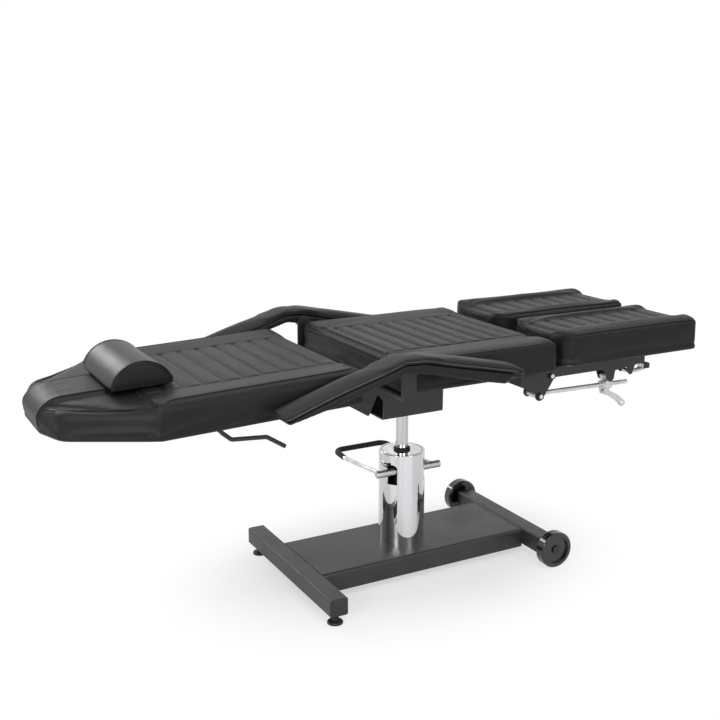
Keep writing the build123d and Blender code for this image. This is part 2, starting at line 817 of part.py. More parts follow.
def channels(x, y, valley, count, rise):
    """Row of sewn channels across a panel, each an arc in side view."""
    pitch = (x[1] - x[0]) / count
    edges = []
    for step in range(count):
        start = x[0] + pitch * step
        edges.append(ThreePointArc((start, y[0], valley), (start + pitch / 2, y[0], valley + rise),
                                   (start + pitch, y[0], valley)))
    low = valley - panel_root
    edges.append(Line((x[0], y[0], valley), (x[0], y[0], low)))
    edges.append(Line((x[0], y[0], low), (x[1], y[0], low)))
    edges.append(Line((x[1], y[0], low), (x[1], y[0], valley)))
    return extrude(make_face(edges), amount=y[1] - y[0], dir=(0, 1, 0))


def board(x, y, z):
    """Plywood board with rounded corners, and the recess that it fills."""
    plate = block(x, y, z)
    return fillet(plate.edges().filter_by(Axis.Z), board_margin / 2)


def seat_board():
    """Board let into the underside of the seat."""
    half = seat_half_width - board_margin
    return board((seat_head_x + board_margin, seat_foot_x - board_margin), (-half, half),
                 (seat_bottom_z, seat_bottom_z + board_thick))


def seat_cushion():
    """Seat with a stepped head face, rolled side borders and sewn channels."""
    valley = seat_panel_z - channel_rise
    top = seat_roll_z + overrun
    x = (seat_head_x, seat_foot_x)
    face = side_corner / 6
    side = side_plate([(x[0] + face, seat_bottom_z), (x[1] - face, seat_bottom_z),
                       (x[1], seat_pipe_z - side_corner),
                       (x[1] - face, top), (x[0] + face, top), (x[0] - face / 2, seat_pipe_z)],
                      (-seat_half_width - overrun, seat_half_width + overrun),
                      [face, face, side_corner, side_corner, end_round, face / 2])
    plan = plan_plate([(x[0] - face, -seat_half_width), (x[1], -seat_half_width), (x[1], seat_half_width),
                       (x[0] - face, seat_half_width)], (seat_bottom_z - overrun, top), [side_corner] * 4)
    roll = [seat_shoulder_z, (seat_roll_y, seat_roll_z), (seat_panel_half, valley)]
    mirrored = [seat_shoulder_z, (-seat_roll_y, seat_roll_z), (-seat_panel_half, valley)]
    body = cushion_body((x[0] - face, x[1]), seat_bottom_z, [-seat_half_width] + mirrored,
                        [seat_half_width] + roll,
                        side, plan)
    body += channels((x[0] + seat_band, x[1] - side_corner / 2), (-seat_panel_half, seat_panel_half), valley,
                     seat_channels, channel_rise)
    band = channels((x[0] + end_round, x[0] + seat_band), (-seat_panel_half, seat_panel_half), valley, 1,
                    channel_rise)
    return body + band - seat_board()


# Backrest, drawn level and then laid back about the recline hinge

back_panel_z = hinge_z + back_panel_rise
back_bottom_z = back_panel_z - back_thick
back_valley_z = back_panel_z - channel_rise
frame_low_z = back_bottom_z - back_frame_thick


def backrest_board():
    """Board let into the underside of the backrest."""
    half = back_half_width - board_margin
    return board((back_taper_x, back_foot_x - board_margin), (-half, half),
                 (back_bottom_z, back_bottom_z + board_thick))


def backrest_cushion():
    """Back with rolled borders, a tapered head end and a centre strip over the tip."""
    x = (back_taper_x, back_foot_x)
    face = side_corner / 6
    top = back_panel_z + back_roll_rise + overrun
    reach = back_half_width + overrun
    side = side_plate([(x[0], back_bottom_z), (x[1], back_bottom_z), (x[1], top), (x[0], top)],
                      (-reach, reach),
                      [face, face * 2, side_corner, face])
    plan = plan_plate([(x[0], -back_half_width), (x[1], -back_half_width), (x[1], back_half_width),
                       (x[0], back_half_width)], (back_bottom_z - overrun, top),
                      [face, side_corner, side_corner, face])
    shoulder = back_panel_z - back_shoulder_drop
    crest = back_panel_z + back_roll_rise
    left = [back_half_width, shoulder, (back_roll_y, crest), (back_panel_half, back_valley_z)]
    right = [-back_half_width, shoulder, (-back_roll_y, crest), (-back_panel_half, back_valley_z)]
    body = cushion_body(x, back_bottom_z, right, left, side, plan)
    lap = x[0] + 2 * back_tip_corner
    hidden = back_half_width - 2 * side_tuck
    bend = back_taper_round + overrun
    wedge = plan_plate([(lap, -hidden), (lap, hidden), (x[0] + back_tip_corner, hidden),
                        (x[0], back_half_width - face),
                        (back_tip_x, back_tip_half), (back_head_x, back_strip_half),
                        (back_head_x, -back_strip_half),
                        (back_tip_x, -back_tip_half), (x[0], -back_half_width + face),
                        (x[0] + back_tip_corner, -hidden)],
                       (back_bottom_z, back_panel_z - back_taper_drop),
                       [bend, bend, bend, bend, back_tip_corner, bend, bend, back_tip_corner, bend, bend])
    wedge = fillet(wedge.edges().group_by(Axis.Z)[-1], back_taper_round)
    wedge = fillet(wedge.edges().group_by(Axis.Z)[0], back_taper_round / 2)
    strip_low = back_bottom_z + back_taper_round
    round_end = (back_panel_z - strip_low) * strip_round_share
    strip = side_plate([(back_head_x - face / 2, strip_low), (back_strip_start_x, strip_low),
                        (back_strip_start_x, back_panel_z), (back_head_x - face / 2, back_panel_z)],
                       (-back_strip_half, back_strip_half), [round_end, face, face, round_end])
    body += wedge
    body += channels((x[0] + face, x[1] - side_corner / 2), (-back_panel_half, back_panel_half),
                     back_valley_z,
                     back_channels, channel_rise)
    return body + strip - backrest_board()


def back_lug(low):
    """Lug that drops from the backrest rail to the hinge pin."""
    y = (low, low + back_frame_thick)
    round_end = back_lug_radius
    outline = [(hinge_x - round_end, hinge_z), (hinge_x + hinge_eye_radius / 2, hinge_z),
               (hinge_x + hinge_eye_radius / 2, frame_low_z), (hinge_x - round_end * 4, frame_low_z)]
    return side_plate(outline, y) + cross_bar(hinge_x, hinge_z, y, hinge_eye_radius)


def spring_cheek(low, eye):
    """Cheek that drops from the backrest frame to the upper eye of the gas spring."""
    y = (low, low + cheek_thick)
    round_end = spring_eye_radius
    half = back_cross_width / 2
    outline = [(eye[0] - half, frame_low_z), (eye[0] - round_end, eye[1]), (eye[0] + round_end, eye[1]),
               (eye[0] + half, frame_low_z)]
    return side_plate(outline, y) + cross_bar(eye[0], eye[1], y, round_end)


def lever_ear(low, pivot):
    """Small ear for the recline lever."""
    y = (low, low + cheek_thick)
    outline = [(pivot[0] - 2 * lever_eye_radius, frame_low_z), (pivot[0] - lever_eye_radius, pivot[1]),
               (pivot[0] + lever_eye_radius, pivot[1]), (pivot[0] + 2 * lever_eye_radius, frame_low_z)]
    return side_plate(outline, y) + cross_bar(pivot[0], pivot[1], y, lever_eye_radius)


def backrest_frame():
    """Two rails, three cross flats, hinge lugs, gas spring cheeks and lever ears."""
    z = (frame_low_z, back_bottom_z)
    half = back_rail_width / 2
    frame = None
    for y in (-back_rail_y, back_rail_y):
        rail = block((back_rail_head_x, hinge_x + hinge_eye_radius / 2), (y - half, y + half), z)
        frame = rail if frame is None else frame + rail
    eye = turned((hinge_x - spring_reach, hinge_z - spring_reach), -back_tilt)
    pivot = turned((lever_pivot_x, lever_pivot_z), -back_tilt)
    flats = [(eye[0], back_rail_y + half), (pivot[0], lever_eye_width - lever_y),
             (back_rail_head_x, back_rail_y + half)]
    for x, reach in flats:
        frame += block((x - back_cross_width / 2, x + back_cross_width / 2), (-reach, reach), z)
    for low in (-back_rail_y - half, back_rail_y + half - back_frame_thick):
        frame += back_lug(low)
    for low in cheek_places:
        frame += spring_cheek(low, eye)
    span = (cheek_places[0] - cheek_thick, cheek_places[1] + 2 * cheek_thick)
    frame += cross_bar(eye[0], eye[1], span, spring_pin_radius)
    ears = [lever_y - lever_eye_width / 2 - run_gap - cheek_thick, lever_y + lever_eye_width / 2 + run_gap]
    for low in ears:
        frame += lever_ear(low, pivot)
    frame += cross_bar(pivot[0], pivot[1], (ears[0], ears[1] + cheek_thick), lever_pin_radius)
    reach = back_rail_y + back_rail_width
    return frame - cross_bar(hinge_x, hinge_z, (-reach, reach), hinge_pin_radius)


def recline_hinge_pin():
    """Pin through the seat arms and the backrest lugs, with a head at each end."""
    reach = box_half_width + run_gap + hinge_head_thick
    pin = cross_bar(hinge_x, hinge_z, (-reach, reach), hinge_pin_radius)
    for side in both_sides(cross_bar(hinge_x, hinge_z, (reach - hinge_head_thick, reach), hinge_head_radius)):
        pin += side
    return pin


def gas_spring_cylinder():
    """Gas spring barrel with its eye on the seat bracket."""
    y = (spring_y - spring_eye_width / 2, spring_y + spring_eye_width / 2)
    start, end = anchor_x - spring_neck_length, anchor_x - spring_cylinder_length
    barrel = bar((start, spring_y, anchor_z), (end, spring_y, anchor_z), spring_eye_radius)
    barrel = fillet(barrel.edges().group_by(Axis.X)[0], overrun)
    neck = bar((anchor_x, spring_y, anchor_z), (start, spring_y, anchor_z), spring_neck_radius)
    body = barrel + neck + cross_bar(anchor_x, anchor_z, y, spring_eye_radius)
    inside = start - spring_rod_radius
    body -= bar((inside, spring_y, anchor_z), (end + spring_gland, spring_y, anchor_z), spring_bore)
    body -= bar((inside, spring_y, anchor_z), (end - overrun, spring_y, anchor_z),
                spring_rod_radius + run_gap)
    return body - cross_bar(anchor_x, anchor_z, (y[0] - overrun, y[1] + overrun), spring_pin_radius + pin_gap)


def gas_spring_rod():
    """Gas spring rod with its piston and its eye on the backrest."""
    x = hinge_x - spring_reach
    y = (spring_y - spring_eye_width / 2, spring_y + spring_eye_width / 2)
    end = anchor_x - spring_end_room
    rod = bar((x, spring_y, anchor_z), (end, spring_y, anchor_z), spring_rod_radius)
    rod += bar((end - spring_piston_height, spring_y, anchor_z), (end, spring_y, anchor_z),
               spring_bore - run_gap)
    rod += cross_bar(x, anchor_z, y, spring_eye_radius - overrun / 2)
    return rod - cross_bar(x, anchor_z, (y[0] - overrun, y[1] + overrun), spring_pin_radius + pin_gap)


def recline_lever():
    """Bent release rod with an eye under the backrest."""
    points = [(lever_pivot_x, lever_y, lever_pivot_z)] + [(x, lever_y, z) for x, z in lever_points]
    half = lever_eye_width / 2
    rod = pipe(points, [lever_bend / 2, lever_bend, lever_bend], lever_rod_radius)
    rod += cross_bar(lever_pivot_x, lever_pivot_z, (lever_y - half, lever_y + half), lever_eye_radius)
    reach = half + overrun
    return rod - cross_bar(lever_pivot_x, lever_pivot_z, (lever_y - reach, lever_y + reach),
                           lever_pin_radius + pin_gap)


def head_pillow():
    """Half-round bolster with flat ends and a piped edge."""
    base = back_panel_z + run_gap
    middle = (pillow_head_x + pillow_foot_x) / 2
    lip = base + pillow_foot_height
    edges = [Line((pillow_head_x, 0, lip), (pillow_head_x, 0, base)),
             Line((pillow_head_x, 0, base), (pillow_foot_x, 0, base)),
             Line((pillow_foot_x, 0, base), (pillow_foot_x, 0, lip)),
             ThreePointArc((pillow_head_x, 0, lip), (middle, 0, base + pillow_height),
                           (pillow_foot_x, 0, lip))]
    body = extrude(make_face(edges), amount=pillow_half_width * 2, dir=(0, 1, 0))
    body = Pos(0, -pillow_half_width, 0) * body
    ends = body.edges().filter_by(GeomType.CIRCLE)
    return fillet(ends, pillow_edge)


# Armrests, drawn on the left side

def armrest_base():
    """Lower slab of the armrest with its pivot boss."""
    y = (arm_inner_y + overrun, arm_inner_y + arm_width - overrun)
    slab = side_plate(arm_line + arm_under, y)
    slab += cross_bar(arm_pivot_x, arm_pivot_z, (arm_inner_y, arm_inner_y + arm_boss_length), arm_boss_radius)
    over = [(x, z + arm_boss_radius * 2) for x, z in arm_line]
    slab -= side_plate(arm_line + over[::-1], (arm_inner_y - overrun, y[1] + overrun))
    slab -= armrest_pad()
    return slab - cross_bar(arm_pivot_x, arm_pivot_z, (arm_inner_y - overrun, arm_inner_y + arm_boss_length),
                            arm_stud_radius + pin_gap)


def crown_tunnel(start, end):
    """Straight length of the pad's domed section along one half of the armrest."""
    run = Vector(end[0] - start[0], 0, end[1] - start[1])
    plane = Plane(origin=(start[0], arm_inner_y, start[1]), x_dir=(0, 1, 0), z_dir=run)
    edges = [ThreePointArc((0, arm_shoulder), (arm_width / 2, arm_crown_height), (arm_width, arm_shoulder)),
             Line((0, arm_shoulder), (0, -arm_crown_height)),
             Line((0, -arm_crown_height), (arm_width, -arm_crown_height)),
             Line((arm_width, -arm_crown_height), (arm_width, arm_shoulder))]
    return extrude(plane * make_face(edges), amount=2 * run.length, both=True)


def armrest_pad():
    """Upper pad of the armrest, domed across and rounded at its tips."""
    y = (arm_inner_y, arm_inner_y + arm_width)
    flat = [overrun, overrun, overrun * 6, overrun * 6, overrun * 10, overrun]
    pad = side_plate(arm_line + arm_crown, y, flat + arm_crown_bends)
    plan = plan_plate([(arm_crown[-1][0], y[0]), (arm_crown[0][0], y[0]), (arm_crown[0][0], y[1]),
                       (arm_crown[-1][0], y[1])],
                      (arm_line[0][1] - arm_width, arm_crown[3][1] + overrun), [arm_tip_corner] * 4)
    dome = crown_tunnel(arm_line[0], arm_line[2]) + crown_tunnel(arm_line[3], arm_line[-1])
    return pad & plan & dome


# Leg rests, drawn on the left side

def leg_board():
    """Board let into the underside of a leg rest."""
    return board((leg_head_x + board_margin, leg_foot_x - board_margin),
                 (leg_inner_y + board_margin, leg_outer_y - board_margin),
                 (leg_bottom_z, leg_bottom_z + board_thick))


def leg_cushion():
    """Leg rest with two rolled borders round a channelled panel."""
    valley = leg_panel_z - channel_rise
    top = leg_outer_roll_z + overrun
    x = (leg_head_x, leg_foot_x)
    y = (leg_inner_y, leg_outer_y)
    face = side_corner / 6
    side = side_plate([(x[0], leg_bottom_z), (x[1] - face, leg_bottom_z), (x[1], top), (x[0], top)],
                      (y[0] - overrun, y[1] + overrun), [face, face, face * 3, end_round * 2])
    plan = plan_plate([(x[0], y[0]), (x[1], y[0]), (x[1], y[1]), (x[0], y[1])], (leg_bottom_z - overrun, top),
                      [leg_head_corner, leg_foot_corner, leg_foot_corner, leg_head_corner])
    inner = [y[0], leg_inner_roll_z - leg_shoulder_drop, (leg_inner_roll_y, leg_inner_roll_z),
             (leg_panel_inner, valley)]
    outer = [y[1], leg_outer_roll_z - leg_shoulder_drop, (leg_outer_roll_y, leg_outer_roll_z),
             (leg_panel_outer, valley)]
    body = cushion_body(x, leg_bottom_z, inner, outer, side, plan)
    span = (x[0] + leg_head_band, x[1] - leg_foot_band)
    strip = channels(span, (leg_panel_inner, leg_panel_outer), valley, leg_channels, channel_rise)
    corner = leg_head_corner * web_share
    shape = plan_plate([(span[0], leg_panel_inner), (span[1], leg_panel_inner), (span[1], leg_panel_outer),
                        (span[0], leg_panel_outer)], (leg_bottom_z, top), [corner, overrun, overrun, corner])
    return body + (strip & shape) - leg_board()


def leg_bracket():
    """Two ears, a web and a top flange under the seat."""
    top = box_top
    half_gap = ear_offset - ear_thick / 2
    bracket = block((ear_head_x, rail_foot_x), (leg_y - ear_offset, leg_y + ear_offset),
                    (top - ear_thick, top))
    bracket += block((ear_head_x, ear_head_x + ear_thick), (leg_y - ear_offset, leg_y + ear_offset),
                     (top - web_height, top))
    tip = ear_tip_radius
    for low in (leg_y - ear_offset - ear_thick / 2, leg_y + half_gap):
        y = (low, low + ear_thick)
        outline = [(ear_head_x, top), (ear_head_x, top - web_height),
                   (rod_foot_x - tip, rod_foot_z + tip * ear_foot_share),
                   (rod_foot_x + tip, rod_foot_z - tip * (1 - ear_foot_share)), (ear_foot_x, leg_hinge_z),
                   (ear_foot_x, top)]
        bracket += side_plate(outline, y) + cross_bar(rod_foot_x, rod_foot_z, y, tip)
    reach = (leg_y - 2 * ear_offset, leg_y + 2 * ear_offset)
    bracket -= cross_bar(leg_hinge_x, leg_hinge_z, reach, leg_pin_radius)
    return bracket - cross_bar(rod_foot_x, rod_foot_z, reach, leg_pin_radius)


ear_out = ear_offset + ear_thick / 2
ear_in = ear_offset - ear_thick / 2


def hex_head(x, z, low):
    """Hexagon head or nut whose axis is along Y."""
    return Plane(origin=(x, low, z), z_dir=(0, 1, 0)) * extrude(RegularPolygon(nut_radius, 6),
                                                                amount=nut_height)


def bracket_bolts():
    """Hinge bolt of a leg rest, and the two short screws that hold the rod's tube."""
    bolts = [cross_bar(leg_hinge_x, leg_hinge_z, (leg_y - ear_out, leg_y + ear_out), leg_pin_radius)
             + hex_head(leg_hinge_x, leg_hinge_z, leg_y - ear_out - nut_height)
             + hex_head(leg_hinge_x, leg_hinge_z, leg_y + ear_out)]
    bolts.append(cross_bar(rod_foot_x, rod_foot_z, (leg_y - ear_out, leg_y - ear_in), leg_pin_radius)
                 + hex_head(rod_foot_x, rod_foot_z, leg_y - ear_out - nut_height))
    bolts.append(cross_bar(rod_foot_x, rod_foot_z, (leg_y + ear_in, leg_y + ear_out), leg_pin_radius)
                 + hex_head(rod_foot_x, rod_foot_z, leg_y + ear_out))
    return bolts


def arm_cheek(y):
    """One side wall of a leg arm, with the hinge eye, the clamp ear and the curved tail."""
    x0 = leg_hinge_x
    ear = clamp_ear_radius
    outline = [(x0, leg_hinge_z), (arm_top_x, leg_bottom_z - arm_wall), (arm_top_x, leg_bottom_z),
               (arm_foot_x, leg_bottom_z),
               (arm_foot_x, arm_foot_z), (blade_pivot_x, (arm_dip_z + arm_foot_z) / 2),
               (arm_dip_x, arm_dip_z),
               (clamp_x + ear, clamp_z), (clamp_x - ear, clamp_z), (clamp_x - 2 * ear, arm_bottom_z),
               (x0 + arm_eye_radius, arm_bottom_z)]
    wall = side_plate(outline, y)
    wall += cross_bar(x0, leg_hinge_z, y, arm_eye_radius)
    wall += cross_bar(clamp_x, clamp_z, y, ear)
    lug = [(blade_pivot_x - 2 * blade_lug_radius, arm_foot_z),
           (blade_pivot_x - blade_lug_radius, blade_pivot_z),
           (blade_pivot_x + blade_lug_radius, blade_pivot_z),
           (blade_pivot_x + 2 * blade_lug_radius, arm_foot_z)]
    return wall + side_plate(lug, y) + cross_bar(blade_pivot_x, blade_pivot_z, y, blade_lug_radius)


def leg_arm():
    """Channel under the leg board with the hinge bush and the pins of clamp and blade."""
    low, high = leg_y - arm_half_width, leg_y + arm_half_width
    arm = arm_cheek((low, low + arm_wall)) + arm_cheek((high - arm_wall, high))
    arm += block((arm_top_x, arm_foot_x), (low, high), (leg_bottom_z - arm_wall, leg_bottom_z))
    arm += cross_bar(leg_hinge_x, leg_hinge_z, (low, high), arm_eye_radius)
    arm += cross_bar(clamp_x, clamp_z, (low, high), clamp_pin_radius)
    arm += cross_bar(blade_pivot_x, blade_pivot_z, (low, high), blade_pin_radius)
    return arm - cross_bar(leg_hinge_x, leg_hinge_z, (low - overrun, high + overrun),
                           leg_pin_radius + pin_gap)


rod_length = math.hypot(rod_end_x - rod_foot_x, rod_end_z - rod_foot_z)
rod_run = ((rod_end_x - rod_foot_x) / rod_length, (rod_end_z - rod_foot_z) / rod_length)


def on_rod(distance):
    """A point on the rod's middle line, measured from its pivot."""
    return (rod_foot_x + rod_run[0] * distance, leg_y, rod_foot_z + rod_run[1] * distance)


clamp_distance = (clamp_x - rod_foot_x) * rod_run[0] + (clamp_z - rod_foot_z) * rod_run[1]


def leg_rod():
    """Support rod with the cross tube that turns between the bracket ears."""
    half = ear_in - run_gap
    rod = bar(on_rod(0), on_rod(rod_length), rod_radius)
    rod = chamfer(rod.edges().group_by(Axis.X)[-1], overrun / 2)
    return rod + cross_bar(rod_foot_x, rod_foot_z, (leg_y - half, leg_y + half), rod_tube_radius)


def leg_clamp():
    """Casting that hangs from the arm and grips the rod."""
    half = clamp_width / 2
    y = (leg_y - half, leg_y + half)
    near, far = on_rod(clamp_distance - clamp_block_length / 2), on_rod(clamp_distance
                                                                        + clamp_block_length / 2)
    body = bar(near, far, clamp_block_radius)
    middle = on_rod(clamp_distance)
    body += cross_bar(clamp_x, clamp_z, y, clamp_ear_radius - clamp_boss_step)
    body += block((clamp_x - clamp_ear_radius * web_share, clamp_x + clamp_ear_radius * web_share), y,
                  (middle[2], clamp_z))
    lug = (leg_y - grip_width, leg_y + grip_width)
    post = block((grip_pivot_x - grip_eye_radius, grip_pivot_x + grip_eye_radius), lug,
                 (grip_pivot_z, middle[2]))
    post += cross_bar(grip_pivot_x, grip_pivot_z, lug, grip_eye_radius)
    slot = (leg_y - grip_width / 2 - run_gap, leg_y + grip_width / 2 + run_gap)
    reach = clamp_block_length
    post -= block((grip_pivot_x - reach, grip_pivot_x + reach), slot,
                  (grip_pivot_z - grip_eye_radius - overrun, middle[2] - clamp_block_radius + pin_gap))
    body += post
    body += cross_bar(grip_pivot_x, grip_pivot_z, lug, grip_pin_radius)
    body -= bar(on_rod(clamp_distance - reach), on_rod(clamp_distance + reach), rod_radius + pin_gap)
    return body - cross_bar(clamp_x, clamp_z, (y[0] - overrun, y[1] + overrun), clamp_pin_radius + pin_gap)


def clamp_lever():
    """Curved tapering handle with a flattened ball at its tip."""
    half = grip_width / 2
    y = (leg_y - half, leg_y + half)
    root = grip_root_thick / 2
    bow = grip_ball_radius * web_share
    middle = ((grip_pivot_x + grip_tip_x) / 2, (grip_pivot_z + grip_tip_z) / 2)
    tip = grip_ball_radius * web_share
    edges = [ThreePointArc((grip_pivot_x, y[0], grip_pivot_z + root),
                           (middle[0] + root, y[0], middle[1] + root + bow),
                           (grip_tip_x + tip, y[0], grip_tip_z + tip)),
             Line((grip_tip_x + tip, y[0], grip_tip_z + tip), (grip_tip_x - tip, y[0], grip_tip_z - tip)),
             ThreePointArc((grip_tip_x - tip, y[0], grip_tip_z - tip),
                           (middle[0] - root, y[0], middle[1] - root + bow),
                           (grip_pivot_x, y[0], grip_pivot_z - root)),
             Line((grip_pivot_x, y[0], grip_pivot_z - root), (grip_pivot_x, y[0], grip_pivot_z + root))]
    handle = extrude(make_face(edges), amount=grip_width, dir=(0, 1, 0))
    handle += cross_bar(grip_pivot_x, grip_pivot_z, y, grip_eye_radius - pin_gap)
    handle += Pos(grip_tip_x, leg_y, grip_tip_z) * Sphere(grip_ball_radius)
    return handle - cross_bar(grip_pivot_x, grip_pivot_z, (y[0] - overrun, y[1] + overrun),
                              grip_pin_radius + pin_gap)


def blade_path(offset, y):
    """Curved middle line of the blade, moved up or down."""
    return [(blade_pivot_x, y, blade_pivot_z + offset), (blade_dip_x, y, blade_dip_z + offset),
            (blade_tip_x, y, blade_tip_z + offset)]


def latch_lever():
    """Pale curved blade with a rubber cap on its tip."""
    y = (leg_y - blade_width / 2, leg_y + blade_width / 2)
    half = blade_thick / 2
    upper, lower = blade_path(half, y[0]), blade_path(-half, y[0])
    edges = [ThreePointArc(*upper), Line(upper[-1], lower[-1]), ThreePointArc(*lower),
             Line(upper[0], lower[0])]
    blade = extrude(make_face(edges), amount=blade_width, dir=(0, 1, 0))
    blade += cross_bar(blade_pivot_x, blade_pivot_z, y, blade_lug_radius - overrun)
    blade -= cross_bar(blade_pivot_x, blade_pivot_z, (y[0] - overrun, y[1] + overrun),
                       blade_pin_radius + pin_gap)
    wall = blade_cap_wall
    cap = block((blade_tip_x - blade_cap_length, blade_tip_x + wall), (y[0] - wall, y[1] + wall),
                (blade_tip_z - blade_thick - wall * 2, blade_tip_z + half + wall))
    cap = fillet(cap.edges().filter_by(Axis.Y), wall)
    return [blade, cap - blade]


# Write every node

os.makedirs("parts", exist_ok=True)

save("base_channel", base_channel())
save("front_crossbar", front_crossbar())
save("tube_end_caps", *both_sides(tube_end_cap()))
save("rear_axle_bar", rear_axle_bar())
save("levelling_foot_right", levelling_foot(-foot_y))
save("levelling_foot_left", levelling_foot(foot_y))
save("wheel_axle", wheel_axle())
save("axle_caps", *both_sides(axle_cap()))
save_pair("wheel", wheel())

save("pump_cylinder", pump_cylinder())
save("pump_bolts", *[pump_bolt(x, y) for x, y in bolt_places])
save("pump_cover_lower", pump_cover_lower())
save("pump_cover_upper", pump_cover_upper())
save("pump_top_cap", pump_top_cap())
save("rod_wiper_seal", rod_wiper_seal())
save("pedal_bearings", pedal_bearing(bearing_x), pedal_bearing(-bearing_x - bearing_thick))
save("pedal_shaft", pedal_shaft())
lever_solid = pedal_lever()
save("pedal_lever", lever_solid)
save("pedal_sleeve", pedal_sleeve(lever_solid))
save("pump_plunger", pump_plunger())
save("plunger_spring", plunger_spring())
save("ram_rod", ram_rod())
save("ram_piston", ram_piston())

save("swivel_hub", swivel_hub())
save("seat_box", seat_box())
save("seat_rails", seat_rails())
save("spring_bracket", spring_bracket())
save("seat_board", seat_board())
save("seat_cushion", seat_cushion())
save("leg_brackets", *both_sides(leg_bracket()))
save("bracket_bolts", *[piece for bolt in bracket_bolts() for piece in both_sides(bolt)])
save("armrest_uprights", *both_sides(armrest_upright()))

save("backrest_frame", lay_back(backrest_frame()))
save("backrest_board", lay_back(backrest_board()))
save("backrest_cushion", lay_back(backrest_cushion()))
save("recline_hinge_pin", recline_hinge_pin())
save("gas_spring_cylinder", gas_spring_cylinder())
save("gas_spring_rod", gas_spring_rod())
save("recline_lever", recline_lever())
save("head_pillow", lay_back(head_pillow()))

save_pair("armrest_base", armrest_base())
save_pair("armrest_pad", armrest_pad())
save_pair("leg_cushion", leg_cushion())
save_pair("leg_board", leg_board())
save_pair("leg_arm", leg_arm())
save_pair("leg_rod", leg_rod())
save_pair("leg_clamp", leg_clamp())
save_pair("clamp_lever", clamp_lever())
save_pair("latch_lever", *latch_lever())
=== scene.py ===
# %% [markdown]
# # A tattoo chair, dressed over its CAD frame
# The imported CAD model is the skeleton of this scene. Blender changes no size: it gives the metal,
# plastic and wood parts their finishes, and it makes the upholstery that CAD only blocks out.
# The frame is loaded first, because every later piece is placed by it and rides on its bodies.

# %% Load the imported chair
import math

import bmesh
import bpy
from mathutils import Matrix, Vector
from mathutils.bvhtree import BVHTree


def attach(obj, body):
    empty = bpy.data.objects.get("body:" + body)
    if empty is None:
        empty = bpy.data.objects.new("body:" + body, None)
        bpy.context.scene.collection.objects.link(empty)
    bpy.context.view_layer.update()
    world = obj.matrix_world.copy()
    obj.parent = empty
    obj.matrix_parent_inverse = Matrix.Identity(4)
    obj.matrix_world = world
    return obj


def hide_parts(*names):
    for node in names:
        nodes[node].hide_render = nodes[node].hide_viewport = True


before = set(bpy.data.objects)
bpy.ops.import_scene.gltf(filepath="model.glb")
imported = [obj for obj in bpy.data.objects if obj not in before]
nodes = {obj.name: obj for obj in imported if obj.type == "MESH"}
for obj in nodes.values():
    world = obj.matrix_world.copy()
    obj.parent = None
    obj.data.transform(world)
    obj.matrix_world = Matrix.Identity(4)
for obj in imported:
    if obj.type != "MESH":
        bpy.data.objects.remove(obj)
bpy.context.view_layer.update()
scene = bpy.context.scene
MM = 0.001
SIDES = {"right": -1, "left": 1}

# %% [markdown]
# ## Camera
# The photograph looks down on the chair from its right, a little from the head end, with a normal
# lens. The place was worked out from points on the frame whose sizes are known, so the render can
# be laid over the photograph. A camera looks along its own -Z, which to_track_quat turns for us.

# %% Stand the camera where the photographer stood
camera_place = Vector((-1.4036, -2.3370, 1.2532))
camera_aim = Vector((-0.1307, 0.0, 0.5968))
lens = bpy.data.cameras.new("photo_camera")
lens.lens = 52.23
lens.sensor_width = 36.0
camera = bpy.data.objects.new("photo_camera", lens)
camera.location = camera_place
camera.rotation_euler = (camera_aim - camera_place).to_track_quat("-Z", "Y").to_euler()
scene.collection.objects.link(camera)
scene.camera = camera
scene.view_settings.view_transform = "Standard"
print("camera distance:", round((camera_aim - camera_place).length, 3), "m")

# %% [markdown]
# ## Writing a finish
# A shader is a graph of nodes, and sums in it are hard to read as boxes. The small Wire class lets a
# formula on sockets be written as ordinary Python, and each operator adds one Math node. Everything
# else goes through Finish.add, which takes the node's type, its settings and its socket values.

# %% A wire that can be added and multiplied
class Wire:
    """A number that travels between shader nodes and can be used in a formula."""

    def __init__(self, finish, socket):
        self.finish, self.socket = finish, socket

    def math(self, operation, *others):
        inputs = {0: self, **{place + 1: other for place, other in enumerate(others)}}
        return self.finish.add("ShaderNodeMath", {"operation": operation}, inputs)

    def __add__(self, other): return self.math("ADD", other)
    def __radd__(self, other): return self.math("ADD", other)
    def __mul__(self, other): return self.math("MULTIPLY", other)
    def __rmul__(self, other): return self.math("MULTIPLY", other)
    def __sub__(self, other): return self.math("SUBTRACT", other)
    def __rsub__(self, other): return (self * -1.0).math("ADD", other)
    def __truediv__(self, other): return self.math("DIVIDE", other)
    def __pow__(self, other): return self.math("POWER", other)


